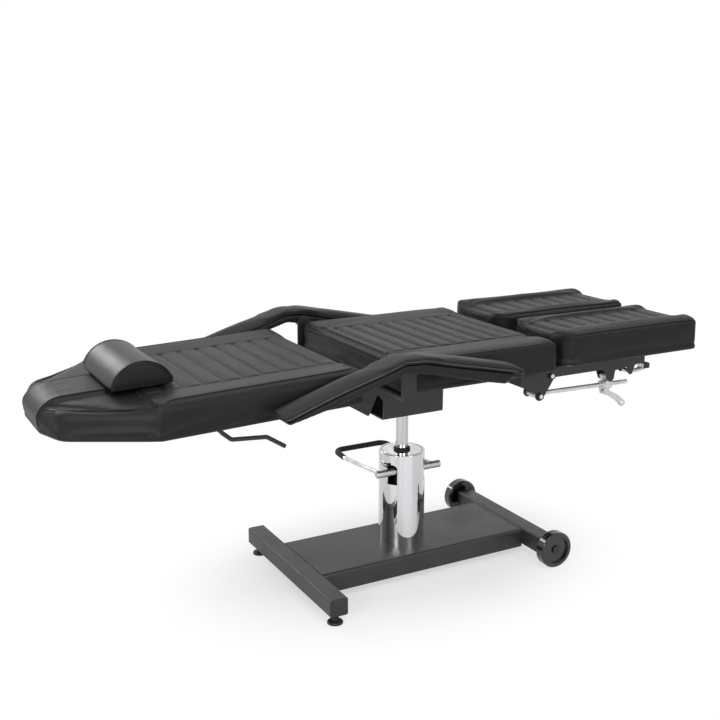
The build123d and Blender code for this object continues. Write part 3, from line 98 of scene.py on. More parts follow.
# %% A finish, built node by node
class Finish:
    """A material, or a world that is handed in, whose nodes are added one call at a time."""

    def __init__(self, name, world=None):
        self.material = world or bpy.data.materials.new(name)
        self.material.use_nodes = True
        self.tree = self.material.node_tree
        self.tree.nodes.clear()
        self.place = self.add("ShaderNodeTexCoord", output="Generated" if world else "Object")

    def add(self, kind, settings=None, inputs=None, output=0):
        node = self.tree.nodes.new(kind)
        for setting, value in (settings or {}).items():
            setattr(node, setting, value)
        for name, value in (inputs or {}).items():
            if isinstance(value, Wire):
                self.tree.links.new(value.socket, node.inputs[name])
            else:
                node.inputs[name].default_value = value
        return Wire(self, node.outputs[output]) if len(node.outputs) else node

    def stretch(self, scale, turn=(0.0, 0.0, 0.0)):
        """The surface's own coordinates, stretched or turned."""
        return self.add("ShaderNodeMapping", None, {"Vector": self.place, "Scale": scale, "Rotation": turn})

    def cloud(self, scale, detail=3.0, vector=None, roughness=0.5):
        """Soft random spots from 0 to 1."""
        inputs = {"Vector": vector or self.place, "Scale": scale, "Detail": detail, "Roughness": roughness}
        return self.add("ShaderNodeTexNoise", None, inputs, "Fac")

    def cells(self, scale, feature="F1", vector=None):
        """Distance to the nearest of many scattered points."""
        inputs = {"Vector": vector or self.place, "Scale": scale, "Randomness": 1.0}
        return self.add("ShaderNodeTexVoronoi", {"feature": feature}, inputs, "Distance")

    def ramp(self, wire, low, high):
        """The wire spread so that low becomes 0 and high becomes 1."""
        inputs = {"Value": wire, "From Min": low, "From Max": high}
        return self.add("ShaderNodeMapRange", {"interpolation_type": "SMOOTHSTEP"}, inputs)

    def blend(self, amount, first, second):
        """A colour between two colours."""
        return self.add("ShaderNodeMix", {"data_type": "RGBA"}, {0: amount, 6: first, 7: second}, 2)

    def bump(self, height, depth, under=None):
        """A Normal that raises the surface by depth metres where height is 1."""
        inputs = {"Height": height, "Distance": depth, "Strength": 1.0}
        if under:
            inputs["Normal"] = under
        return self.add("ShaderNodeBump", None, inputs)

    def trait(self, name):
        """A number that the mesh carries on its points, such as how near a seam is."""
        return self.add("ShaderNodeAttribute", {"attribute_name": name}, None, "Fac")

    def surface(self, **sockets):
        """The principled shader and the material's output."""
        inputs = {name.replace("_", " "): value for name, value in sockets.items()}
        shader = self.add("ShaderNodeBsdfPrincipled", None, inputs)
        self.add("ShaderNodeOutputMaterial", None, {"Surface": shader})
        return self.material


# %% [markdown]
# ## Floor, background and light
# The photograph is a cut-out on white with a faint shadow. The floor is a wide pale disc that glows
# white to the eye, less so beside the base, where it has to keep the shadow. The world is white to
# look at and lights the chair more softly. Soft lamps do the rest: a wide box above, small ones at
# the front and the back, and two low ones that draw a sheen on the long walls of the cushions.

# %% A pale floor that keeps the chair's shadow
WHITE = (1.0, 1.0, 1.0, 1.0)


def floor_finish():
    """Diffuse under a glow that only the camera and reflections see, weakest at the chair's base."""
    finish = Finish("studio_floor")
    diffuse = finish.add("ShaderNodeBsdfDiffuse", None, {"Color": (0.86, 0.86, 0.865, 1.0)})
    glow = finish.add("ShaderNodeEmission", None, {"Color": WHITE, "Strength": 1.0})
    seen = finish.add("ShaderNodeLightPath", output="Is Camera Ray")
    spread = finish.add("ShaderNodeMapping", None, {"Vector": finish.place, "Scale": (0.8, 1.15, 1.0)})
    apart = finish.add("ShaderNodeVectorMath", {"operation": "LENGTH"}, {0: spread}, "Value")
    shadow_reach, white_from, mirrored_share, base_share = 0.24, 0.58, 0.75, 0.56
    far = finish.ramp(apart, shadow_reach, white_from)
    mirrored = finish.add("ShaderNodeLightPath", output="Is Glossy Ray")
    shown = seen.math("MAXIMUM", mirrored * mirrored_share)
    share = shown * (base_share + far * (1.0 - base_share))
    mixed = finish.add("ShaderNodeMixShader", None, {0: share, 1: diffuse, 2: glow})
    finish.add("ShaderNodeOutputMaterial", None, {"Surface": mixed})
    return finish.material


def new_piece(name, bm, finish):
    """An object made from a bmesh, with its place in its mesh."""
    mesh = bpy.data.meshes.new(name)
    bm.to_mesh(mesh)
    bm.free()
    mesh.materials.append(finish)
    piece = bpy.data.objects.new(name, mesh)
    scene.collection.objects.link(piece)
    return piece


floor_radius = 16.0
disc = bmesh.new()
bmesh.ops.create_circle(disc, cap_ends=True, segments=96, radius=floor_radius)
floor = new_piece("studio_floor", disc, floor_finish())
print("floor disc with a radius of", floor_radius, "m")

# %% A world that is white to look at and softer to light with
# front_x and front_y point level from the chair to where the photographer stood.
front_x, front_y = -0.477, -0.879


def studio_world():
    """White to the eye. Reflections meet a grey wall on each side of the front, and a thin dark gap."""
    world = bpy.data.worlds.new("studio_world")
    sky = Finish("studio_world", world)
    split = {"Vector": sky.place}
    east, north, up = (sky.add("ShaderNodeSeparateXYZ", None, split, axis) for axis in "XYZ")
    level = (east * east + north * north + 0.0001) ** 0.5
    ahead = (east * front_x + north * front_y) / level
    aside = (east * -front_y + north * front_x) / level
    wall_ahead, wall_dark, gap_aside, gap_dark, light_strength = 0.28, 0.62, 0.13, 0.7, 0.42
    walls = (sky.ramp((ahead - wall_ahead).math("ABSOLUTE"), 0.3, 0.1)
             * sky.ramp(up.math("ABSOLUTE"), 0.75, 0.35))
    gap = sky.ramp((aside + gap_aside).math("ABSOLUTE"), 0.035, 0.012) * sky.ramp(ahead, 0.5, 0.8)
    left_over = 1.0 - walls * wall_dark - gap * gap_dark
    mirrored = sky.add("ShaderNodeBackground", None, {"Color": WHITE, "Strength": left_over})
    white = sky.add("ShaderNodeBackground", None, {"Color": WHITE, "Strength": 1.0})
    light = sky.add("ShaderNodeBackground", None, {"Color": WHITE, "Strength": light_strength})
    seen = sky.add("ShaderNodeLightPath", output="Is Camera Ray")
    shiny = sky.add("ShaderNodeLightPath", output="Is Glossy Ray")
    through = sky.add("ShaderNodeLightPath", output="Is Transmission Ray")
    near_light = sky.add("ShaderNodeMixShader", None,
                         {0: shiny.math("MAXIMUM", through), 1: light, 2: mirrored})
    mixed = sky.add("ShaderNodeMixShader", None, {0: seen, 1: near_light, 2: white})
    sky.add("ShaderNodeOutputWorld", None, {"Surface": mixed})
    scene.world = world


def soft_lamp(name, place, aim, size, power):
    """A large rectangular lamp pointed at a place, with its size in metres and its power in watts."""
    data = bpy.data.lights.new(name, "AREA")
    data.shape = "RECTANGLE"
    data.size, data.size_y = size
    data.energy = power
    lamp = bpy.data.objects.new(name, data)
    lamp.location = place
    lamp.rotation_euler = (Vector(aim) - Vector(place)).to_track_quat("-Z", "Y").to_euler()
    scene.collection.objects.link(lamp)


studio_world()
soft_lamp("top_softbox", (-0.1, 0.4, 2.8), (-0.1, 0.0, 0.5), (2.4, 1.2), 20.0)
soft_lamp("front_softbox", (-0.5, -1.5, 2.6), (-0.5, 0.0, 0.6), (0.8, 0.6), 19.0)
soft_lamp("wall_softbox", (0.7, -3.0, 1.5), (-0.7, -0.3, 0.6), (1.0, 0.5), 12.0)
soft_lamp("head_softbox", (-3.1, -2.2, 1.6), (-0.85, -0.2, 0.6), (0.9, 0.5), 44.0)
soft_lamp("back_softbox", (-1.3, 2.5, 1.7), (-0.6, 0.0, 0.6), (0.9, 0.7), 16.0)

# %% [markdown]
# ## Coated, plated and plain metal
# Powder coat on the frame is charcoal and slightly pebbled, like orange peel, with a soft sheen.
# Chrome is nearly a mirror. Its colour holds faint smears, drawn out upright as partly painted reflection,
# and dark upright stripes of painted reflection. Zinc plate is paler and mottled, and turned steel has
# fine lines. Each is one function, so that a reader can compare the few nodes it takes.

# %% Charcoal powder coat
def coat_finish(name, colour, rough):
    finish = Finish(name)
    peel = finish.cloud(900.0, 2.0)
    dust = finish.ramp(finish.cloud(9.0, 5.0), 0.35, 0.75)
    paler = tuple(min(1.0, c * 1.55 + 0.006) for c in colour)
    shade = finish.blend(dust * 0.55, (*colour, 1.0), (*paler, 1.0))
    rub = finish.ramp(finish.cloud(46.0, 6.0, roughness=0.7), 0.6, 0.78)
    return finish.surface(Base_Color=shade, Metallic=0.0, Specular_IOR_Level=0.5,
                          Roughness=rough + dust * 0.1 - rub * 0.09, Normal=finish.bump(peel, 0.00012))


# %% Bright chrome
def chrome_finish(name, brightness, reflection_band_scale):
    """Chrome with faint smears and dark upright stripes painted into its colour as reflection; the stripes
    lie closer together where the third argument is larger.
    """
    finish = Finish(name)
    # Painted reflection: the smears are drawn out upright and the stripes darken the colour, standing in for
    # dark surroundings mirrored in the chrome. The smears also roughen it.
    smear_and_reflection_streak = finish.ramp(finish.cloud(7.0, 4.0, finish.stretch((1.0, 1.0, 0.25))), 0.4, 0.8)
    pits = finish.ramp(finish.cells(420.0), 0.02, 0.06)
    reflection_bands = finish.ramp(finish.cloud(reflection_band_scale, 1.0, finish.stretch((1.0, 1.0, 0.03))), 0.42, 0.6)
    paler, darker = brightness, brightness * 0.62
    shade = finish.blend(smear_and_reflection_streak * 0.4 + reflection_bands * 0.5, (paler, paler * 1.01, paler * 1.03, 1.0),
                         (darker, darker * 1.01, darker * 1.04, 1.0))
    return finish.surface(Base_Color=shade, Metallic=1.0,
                          Roughness=0.035 + smear_and_reflection_streak * 0.05 + (1.0 - pits) * 0.02)


# %% Mottled zinc plate
def zinc_finish(name, dipped_from):
    """Plated steel, dipped in black rubber beyond a distance towards the feet."""
    finish = Finish(name)
    flakes = finish.cells(95.0, vector=finish.stretch((1.0, 1.0, 1.0), (0.4, 0.2, 0.7)))
    grease = finish.ramp(finish.cloud(30.0, 5.0), 0.45, 0.72)
    shade = finish.blend(flakes * 0.8, (0.74, 0.75, 0.76, 1.0), (0.56, 0.57, 0.6, 1.0))
    shade = finish.blend(grease * 0.35, shade, (0.3, 0.29, 0.27, 1.0))
    toward_feet = finish.add("ShaderNodeSeparateXYZ", None, {"Vector": finish.place}, "X")
    dipped = finish.ramp(toward_feet, dipped_from, dipped_from + 0.002)
    return finish.surface(Base_Color=finish.blend(dipped, shade, (0.013, 0.013, 0.014, 1.0)),
                          Metallic=1.0 - dipped,
                          Roughness=0.3 + flakes * 0.22 + grease * 0.15 + dipped * 0.15,
                          Normal=finish.bump(finish.cloud(1400.0, 2.0), 0.00003))


# %% Turned steel
def steel_finish():
    finish = Finish("turned_steel")
    lines = finish.cloud(60.0, 6.0, finish.stretch((1.0, 1.0, 26.0)))
    oil = finish.ramp(finish.cloud(22.0, 4.0), 0.4, 0.75)
    shade = finish.blend(oil * 0.5, (0.55, 0.55, 0.56, 1.0), (0.36, 0.35, 0.34, 1.0))
    return finish.surface(Base_Color=shade, Metallic=1.0, Roughness=0.26 + lines * 0.2,
                          Normal=finish.bump(lines, 0.00003))


# %% Blackened bolts with a bright end
bolt_axes = ((0.3033, 0.5574), (0.2682, 0.5065))


def bolt_finish():
    """The hexagon is blackened, and only the turned end of the bolt inside it is bare."""
    finish = Finish("blackened_bolt")
    east, up = (finish.add("ShaderNodeSeparateXYZ", None, {"Vector": finish.place}, axis) for axis in "XZ")
    apart = None
    for x, z in bolt_axes:
        away = ((east - x) ** 2.0 + (up - z) ** 2.0) ** 0.5
        apart = away if apart is None else apart.math("MINIMUM", away)
    bolt_radius, bright_radius = 0.0062, 0.0052
    bare = finish.ramp(apart, bolt_radius, bright_radius)
    scuff = finish.ramp(finish.cloud(160.0, 5.0), 0.5, 0.7)
    shade = finish.blend(bare, (0.03, 0.03, 0.032, 1.0), (0.72, 0.72, 0.73, 1.0))
    return finish.surface(Base_Color=shade, Metallic=bare * 0.5 + 0.5,
                          Roughness=0.42 - bare * 0.12 + scuff * 0.12,
                          Normal=finish.bump(finish.cloud(700.0, 2.0), 0.00004))


# %% [markdown]
# ## Plastic, rubber and plywood
# The wheels are gloss black mouldings with faint swirls from handling, the caps and handles are matt
# plastic with a spark-eroded grain, and the pedal sleeve is rubber with fine rings. The plywood boards
# hide under the cushions, but a look from below shows their face grain and the thin layers at the edge.

# %% Gloss black moulding
def gloss_finish():
    finish = Finish("gloss_black_moulding")
    swirl = finish.ramp(finish.cloud(60.0, 7.0, roughness=0.75), 0.45, 0.8)
    dust = finish.ramp(finish.cloud(14.0, 5.0), 0.5, 0.8)
    shade = finish.blend(dust * 0.4, (0.008, 0.008, 0.009, 1.0), (0.03, 0.03, 0.03, 1.0))
    return finish.surface(Base_Color=shade, Roughness=0.08 + swirl * 0.1 + dust * 0.12, Coat_Weight=0.4,
                          Coat_Roughness=0.05, Normal=finish.bump(finish.cloud(35.0, 1.0), 0.00008))


# %% Matt black moulding
def plastic_finish():
    finish = Finish("matt_black_moulding")
    grain = finish.cells(1300.0)
    worn = finish.ramp(finish.cloud(40.0, 6.0), 0.55, 0.8)
    shade = finish.blend(worn, (0.016, 0.016, 0.017, 1.0), (0.034, 0.034, 0.035, 1.0))
    return finish.surface(Base_Color=shade, Roughness=0.46 + grain * 0.12 - worn * 0.12,
                          Normal=finish.bump(grain, 0.00009))


# %% Ringed rubber
def rubber_finish():
    finish = Finish("ringed_rubber")
    across = finish.add("ShaderNodeSeparateXYZ", None, {"Vector": finish.place}, "X")
    ring_pitch = 0.004
    rings = (across * (2.0 * math.pi / ring_pitch)).math("SINE") * 0.5 + 0.5
    bloom = finish.ramp(finish.cloud(55.0, 4.0), 0.4, 0.8)
    shade = finish.blend(bloom * 0.5, (0.012, 0.012, 0.012, 1.0), (0.035, 0.034, 0.033, 1.0))
    return finish.surface(Base_Color=shade, Roughness=0.6 + bloom * 0.15, Specular_IOR_Level=0.35,
                          Normal=finish.bump(rings + finish.cloud(900.0, 2.0) * 0.3, 0.00025))


# %% Plywood with its layers
def plywood_finish():
    finish = Finish("birch_plywood")
    figure = finish.cloud(7.0, 7.0, finish.stretch((1.0, 9.0, 9.0)), 0.62)
    pores = finish.ramp(finish.cloud(260.0, 3.0, finish.stretch((0.12, 1.0, 1.0))), 0.55, 0.75)
    up = finish.add("ShaderNodeSeparateXYZ", None, {"Vector": finish.place}, "Z")
    layer_pair = 0.0034
    layers = (up * (2.0 * math.pi / layer_pair)).math("SINE").math("GREATER_THAN", 0.0)
    flat = finish.add("ShaderNodeTexCoord", output="Normal")
    level = finish.add("ShaderNodeSeparateXYZ", None, {"Vector": flat}, "Z").math("ABSOLUTE")
    edge = finish.ramp(level, 0.75, 0.5)
    face = finish.blend(figure, (0.42, 0.27, 0.14, 1.0), (0.62, 0.45, 0.27, 1.0))
    shade = finish.blend(layers * edge * 0.7, face, (0.25, 0.15, 0.08, 1.0))
    return finish.surface(Base_Color=shade, Roughness=0.62 + pores * 0.15,
                          Normal=finish.bump(pores + layers * edge, -0.00015))


# %% [markdown]
# ## Upholstery
# The cover is black imitation leather: a soft sheen, a pebbled grain of about a millimetre with finer
# creases between, and a colour that is never quite even. The grain is cells from a Voronoi texture,
# and the roughness follows it, because the hollows between the pebbles shine less than their tops.

# %% Pebbled black imitation leather
def leather_finish(name, colour, rough, grain_depth):
    finish = Finish(name)
    seam, pull = finish.trait("seam"), finish.trait("pull")
    warp = finish.cloud(240.0, 2.0)
    pebble = finish.ramp(finish.cells(820.0, "SMOOTH_F1"), 0.05, 0.62)
    fine = finish.cloud(2600.0, 2.0)
    crease = finish.ramp(finish.cloud(18.0, 6.0, roughness=0.66), 0.47, 0.53)
    pucker = finish.cloud(75.0, 3.0, roughness=0.6) * pull
    tone = finish.ramp(finish.cloud(5.0, 4.0), 0.3, 0.75)
    paler = tuple(c * 1.6 + 0.002 for c in colour)
    hide = finish.blend(tone * 0.6 + pebble * 0.25, (*colour, 1.0), (*paler, 1.0))
    # Painted shade: the colour goes nearly black along each sewn line, standing in for the shade in its
    # valley.
    shade = finish.blend(seam * 0.85, hide, (0.002, 0.002, 0.002, 1.0))
    height = (1.0 - pebble) + fine * 0.25 + warp * 0.4
    folds = finish.bump(pucker, 0.0025, finish.bump(crease, 0.00006))
    normal = finish.bump(height, grain_depth, folds)
    return finish.surface(Base_Color=shade, Roughness=rough + pebble * 0.1 + tone * 0.06 + seam * 0.25,
                          Specular_IOR_Level=0.2, Normal=normal)


# %% Sewing thread
def thread_finish(name, dark, pale):
    finish = Finish(name)
    twist = finish.cloud(3000.0, 2.0)
    shade = finish.blend(twist, (dark, dark, dark, 1.0), (pale, pale, pale, 1.0))
    return finish.surface(Base_Color=shade, Roughness=0.55 + twist * 0.1, Normal=finish.bump(twist, 0.0001))


# %% Give every CAD node its finish
frame_coat = coat_finish("charcoal_frame_coat", (0.02, 0.02, 0.022), 0.36)
chair_coat = coat_finish("black_seat_coat", (0.011, 0.011, 0.012), 0.4)
chrome = chrome_finish("bright_chrome", 0.75, 38.0)
rod_chrome = chrome_finish("hard_chrome_rod", 0.62, 90.0)
beyond_the_chair, blade_tip_x = 5.0, 0.64
zinc = zinc_finish("zinc_plate", beyond_the_chair)
blade = zinc_finish("dipped_zinc_plate", blade_tip_x)
steel = steel_finish()
bolt_black = bolt_finish()
gloss_black = gloss_finish()
matt_black = plastic_finish()
rubber = rubber_finish()
plywood = plywood_finish()
leather = leather_finish("black_leather", (0.0075, 0.0075, 0.0078), 0.33, 0.00016)
smooth_leather = leather_finish("smooth_pillow_leather", (0.009, 0.009, 0.0093), 0.27, 0.00009)
welt_leather = leather_finish("welt_leather", (0.006, 0.006, 0.0065), 0.33, 0.00008)
thread = thread_finish("sewing_thread", 0.02, 0.075)
# The armrest thread is paler than the other thread: partly the stitches' own grey, partly a painted highlight
# for the sheen along the welt's edge.
pale_thread_and_highlight = thread_finish("armrest_thread_painted_highlight", 0.16, 0.34)

finishes = {
    frame_coat: ["base_channel", "front_crossbar", "rear_axle_bar"],
    chair_coat: ["swivel_hub", "seat_box", "seat_rails", "spring_bracket", "leg_brackets", "armrest_uprights",
                 "backrest_frame", "gas_spring_cylinder", "recline_lever", "leg_arm_right", "leg_arm_left"],
    matt_black: ["tube_end_caps", "axle_caps", "levelling_foot_right", "levelling_foot_left"],
    steel: ["wheel_axle", "pump_cylinder", "pump_bolts", "pedal_bearings", "plunger_spring", "pedal_shaft",
            "pump_plunger", "ram_piston", "recline_hinge_pin"],
    bolt_black: ["bracket_bolts"],
    chrome: ["pump_cover_lower", "pump_cover_upper", "pump_top_cap", "pedal_lever", "gas_spring_rod"],
    rod_chrome: ["ram_rod"],
    rubber: ["rod_wiper_seal", "pedal_sleeve"],
    gloss_black: ["wheel_right", "wheel_left"],
    plywood: ["seat_board", "backrest_board", "leg_board_right", "leg_board_left"],
    leather: ["seat_cushion", "backrest_cushion", "head_pillow", "armrest_base_right", "armrest_base_left",
              "armrest_pad_right", "armrest_pad_left", "leg_cushion_right", "leg_cushion_left"],
    zinc: ["leg_clamp_right", "leg_clamp_left", "leg_rod_right", "leg_rod_left", "clamp_lever_right",
           "clamp_lever_left"],
    blade: ["latch_lever_right", "latch_lever_left"],
}
for finish, names in finishes.items():
    for name in names:
        nodes[name].data.materials.clear()
        nodes[name].data.materials.append(finish)
print("finishes on", sum(len(names) for names in finishes.values()), "nodes")

# %% [markdown]
# ## Making a cushion soft
# A cushion cover is cut and sewn flat and then swells over foam. CAD already holds its size, so a copy
# of that solid is remeshed to even squares, drawn in a little, and blown up as cloth for twenty frames
# with gravity off. The underside and every sewn line are held, so the cover puffs between its seams.
# No point may move further than a cap, which keeps each cushion in the space that it has.

# %% Copy a CAD cushion as an even, slightly slack mesh
hinge_place = Vector((-0.268, 0.0, 0.553))
rest_recline = math.radians(-1.9)
laid_back = (Matrix.Translation(hinge_place) @ Matrix.Rotation(rest_recline, 4, "Y")
             @ Matrix.Translation(-hinge_place))
upright = Matrix.Identity(4)
covers = {}


def evaluated(piece):
    """The piece's mesh with its modifiers applied, as a mesh of its own."""
    bpy.context.view_layer.update()
    shape = bpy.data.meshes.new_from_object(piece.evaluated_get(bpy.context.evaluated_depsgraph_get()))
    piece.modifiers.clear()
    piece.data = shape
    return shape


def soft_copy(name, node, voxel, slack, held, level=upright, passes=3, shaped=None):
    """A remeshed copy of a CAD cushion, whose held points won't move when it swells."""
    shape = bmesh.new()
    shape.from_mesh(nodes[node].data)
    bmesh.ops.remove_doubles(shape, verts=shape.verts, dist=0.01 * MM)
    bmesh.ops.transform(shape, matrix=level.inverted(), verts=shape.verts)
    piece = new_piece(name, shape, leather)
    even = piece.modifiers.new("even", "REMESH")
    even.mode, even.voxel_size = "VOXEL", voxel
    mesh = evaluated(piece)
    shape = bmesh.new()
    shape.from_mesh(mesh)
    for _ in range(passes):
        bmesh.ops.smooth_vert(shape, verts=shape.verts, factor=0.5, use_axis_x=True, use_axis_y=True,
                              use_axis_z=True)
    if shaped:
        for v in shape.verts:
            v.co = shaped(v.co / MM) * MM
    shape.normal_update()
    grip = [held(v.co / MM) for v in shape.verts]
    for v, hold in zip(shape.verts, grip):
        v.co -= v.normal * slack * (1.0 - hold)
    shape.to_mesh(mesh)
    shape.free()
    group = piece.vertex_groups.new(name="held")
    for index, hold in enumerate(grip):
        if hold > 0.01:
            group.add([index], hold, "REPLACE")
    covers[name] = {"piece": piece, "node": node, "level": level,
                    "start": [v.co.copy() for v in mesh.vertices]}
    print(name, "has", len(mesh.vertices), "points to swell")


def near(value, lines, reach):
    """How firmly a point is held by the nearest of some sewn lines, from 0 to 1."""
    return max(0.0, 1.0 - min(abs(value - line) for line in lines) / reach)


# %% Swell all the covers together
def swell(pressure, frames):
    """One cloth run for every cover, from frame 1 to the last."""
    for cover in covers.values():
        cloth = cover["piece"].modifiers.new("stuffing", "CLOTH")
        cloth.settings.quality = 5
        cloth.settings.mass = 0.3
        cloth.settings.tension_stiffness = cloth.settings.compression_stiffness = 20.0
        cloth.settings.bending_stiffness = 6.0
        cloth.settings.use_pressure = True
        cloth.settings.uniform_pressure_force = pressure
        cloth.settings.effector_weights.gravity = 0.0
        cloth.settings.vertex_group_mass = "held"
        cloth.settings.shrink_min = 0.012
        cloth.collision_settings.use_collision = False
        cloth.point_cache.frame_start, cloth.point_cache.frame_end = 1, frames
    for moment in range(1, frames + 1):
        scene.frame_set(moment)


def settle(name, cap):
    """Keep what the cloth run made, with each point's travel held under the cap."""
    cover = covers[name]
    mesh = evaluated(cover["piece"])
    furthest = 0.0
    for v, start in zip(mesh.vertices, cover["start"]):
        travel = v.co - start
        if travel.length > 1e-9:
            furthest = max(furthest, travel.length)
            v.co = start + travel.normalized() * cap * math.tanh(travel.length / cap)
    print(name, "swelled by", round(furthest / MM, 1), "mm, held under", round(cap / MM, 1))


# %% [markdown]
# ## Seams
# Remeshing blurs anything narrower than a square, so the sewn lines come after the swelling. A bisect
# lays three rows of points along each line, and the middle row is pressed in, so that the subdivision
# that follows keeps a crisp valley. Each line also leaves two marks on the points: seam, on the line
# itself, where the leather paints shade into its colour to darken the valley, and pull, a little way out,
# where the leather bumps its surface into puckers.

# %% Planes that a sewn line can follow
def crosswise(x):
    return Vector((x, 0.0, 0.0)), Vector((1.0, 0.0, 0.0))


def lengthwise(y):
    return Vector((0.0, y, 0.0)), Vector((0.0, 1.0, 0.0))


def round_about(z, slope=0.0, x=0.0):
    return Vector((x, 0.0, z)), Vector((-slope, 0.0, 1.0)).normalized()


# %% Cut a sewn line into a cover and press it in
def cut_line(shape, plane, inside, width):
    """Rows of points where a plane meets the chosen faces."""
    place, normal = plane
    nearby = 0.008
    for shift in (-width, 0.0, width):
        middle = place * MM + normal * shift
        faces = []
        for face in shape.faces:
            centre = face.calc_center_median()
            if abs((centre - middle).dot(normal)) < nearby and inside(centre / MM):
                faces.append(face)
        parts = faces + list({e for f in faces for e in f.edges}) + list({v for f in faces for v in f.verts})
        bmesh.ops.bisect_plane(shape, geom=parts, dist=0.02 * MM, plane_co=middle, plane_no=normal)


def press_line(shape, plane, inside, depth, reach):
    """Sink the points beside a sewn line, most at the line itself, and mark them."""
    place, normal = plane
    pull_reach, seam_shade_reach = reach * 2.2, 2.4
    seam, pull = shape.verts.layers.float["seam"], shape.verts.layers.float["pull"]
    for v in shape.verts:
        point = v.co / MM
        apart = abs((point - place).dot(normal))
        if apart < pull_reach and inside(point):
            v[pull] = max(v[pull], 1.0 - apart / pull_reach)
            # The seam mark tells the leather where to paint shade along the valley.
            v[seam] = max(v[seam], 1.0 - apart / seam_shade_reach)
            if apart < reach:
                v.co -= v.normal * depth * MM * (1.0 - apart / reach) ** 1.5


def fold(shape, start, end, width, depth):
    """A soft crease between two points: depth is pressed in, and a negative depth stands out."""
    start, end = Vector(start), Vector(end)
    run = end - start
    for v in shape.verts:
        point = v.co / MM
        along = max(0.0, min(1.0, (point - start).dot(run) / run.length_squared))
        apart = (point - start - run * along).length
        if apart < width * 2.5:
            across = math.exp(-(apart / width) ** 2)
            lengthways = math.sin(math.pi * (0.1 + along * 0.8))
            v.co -= v.normal * depth * MM * across * lengthways


def sew(name, lines, folds=(), width=0.002):
    """Cut and press every line of a cover: each is a plane, a test, a depth and a reach."""
    mesh = covers[name]["piece"].data
    shape = bmesh.new()
    shape.from_mesh(mesh)
    shape.verts.layers.float.new("seam")
    shape.verts.layers.float.new("pull")
    for plane, inside, depth, reach in lines:
        cut_line(shape, plane, inside, width)
    shape.normal_update()
    for crease in folds:
        fold(shape, *crease)
    for plane, inside, depth, reach in lines:
        press_line(shape, plane, inside, depth, reach)
    shape.to_mesh(mesh)
    shape.free()
    print(name, "has", len(lines), "sewn lines and", len(folds), "folds")


def dress(name, body, finish):
    """Finish a cover: one subdivision, its leather, its body and the CAD node that it stands for."""
    cover = covers[name]
    piece = cover["piece"]
    piece.data.transform(cover["level"])
    piece.data.materials.clear()
    piece.data.materials.append(finish)
    for face in piece.data.polygons:
        face.use_smooth = True
    finer = piece.modifiers.new("finer", "SUBSURF")
    finer.levels = finer.render_levels = 1
    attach(piece, body)
    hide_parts(cover["node"])
    cover["body"] = body
    bpy.context.view_layer.update()
    cover["skin"] = BVHTree.FromObject(piece, bpy.context.evaluated_depsgraph_get())


# %% [markdown]
# ## The covers
# Every sewn line follows the CAD cushion, so the numbers here are the same millimetres. A test says
# where each line runs: the channels lie between the panel seams, and the undersides stay flat on their
# boards. The backrest and the pillow are worked on level and laid back with the frame at the end.

# %% Where the sewn lines of each panel run
def spaced(start, end, count):
    return [start + (end - start) * step / count for step in range(count + 1)]


row_grip, seam_grip, wall_grip, wall_y = 5.0, 6.0, 0.8, 250.0
seat_start, seat_end, seat_panel_y, seat_seam_z = -122.0, 296.0, 157.5, 651.0
seat_board_z, seat_top_z, seat_top_y = 586.0, 642.0, 162.0
back_start, back_end, back_panel_y, back_seam_z = -762.0, -274.5, 163.6, 649.0
back_board_z, back_top_z, back_top_y = 579.0, 634.0, 168.0
turn_start, turn_end, wedge_seam_z, strip_y = -735.0, -815.0, 633.0, 75.0
leg_start, leg_foot, leg_panel_ys, leg_seam_z, leg_end_seam_z = 362.0, 785.0, (83.0, 201.0), 664.0, 640.0
leg_board_z, leg_inner_y, leg_outer_y = 594.0, 78.0, 206.0
seat_rows = spaced(seat_start, seat_end, 9)
back_rows = spaced(back_start, back_end, 10)
leg_rows = spaced(leg_start, leg_foot, 8)


def seat_held(p):
    if p.z < seat_board_z:
        return 1.0
    if p.z < seat_top_z or abs(p.y) > seat_top_y:
        return near(p.z, [seat_seam_z], seam_grip) * wall_grip if abs(p.y) > wall_y else 0.0
    return max(near(p.x, seat_rows, row_grip), near(abs(p.y), [seat_panel_y], row_grip))


def back_held(p):
    if p.z < back_board_z:
        return 1.0
    if p.x < -770.0 and p.z > 600.0:
        return near(abs(p.y), [strip_y], seam_grip)
    if p.z < back_top_z or abs(p.y) > back_top_y:
        return near(p.z, [back_seam_z], seam_grip) * wall_grip if abs(p.y) > wall_y else 0.0
    return max(near(p.x, back_rows, row_grip), near(abs(p.y), [back_panel_y], row_grip))


def leg_held(p):
    if p.z < leg_board_z:
        return 1.0
    if p.z < 650.0 or not leg_inner_y < abs(p.y) < leg_outer_y:
        return 0.0
    rows = near(p.x, leg_rows, row_grip) if p.x > 355.0 else 0.0
    return max(rows, near(abs(p.y), leg_panel_ys, row_grip) if p.x > 358.0 else 0.0)


pillow_x, pillow_z, pillow_sweep = -748.5, 633.4, 79.8


def rounded_tip(p):
    """The head end falls away more softly than the solid does."""
    ahead = max(0.0, min(1.0, (-925.0 - p.x) / 56.0))
    high = max(0.0, min(1.0, (p.z - 598.0) / 50.0))
    low = max(0.0, min(1.0, (598.0 - p.z) / 30.0))
    return Vector((p.x + 13.0 * ahead * high ** 2 + 4.0 * ahead * low, p.y, p.z - 15.0 * ahead ** 2 * high))


def crowned_end(p):
    """The flat ends of the pillow swell in the middle and stop short of the rim."""
    away = math.hypot(p.x - pillow_x, p.z - pillow_z) / pillow_sweep
    swelling = 4.5 * max(0.0, 1.0 - (away / 0.88) ** 2) if abs(p.y) > 118.0 else 0.0
    return Vector((p.x, p.y + math.copysign(swelling, p.y), p.z))


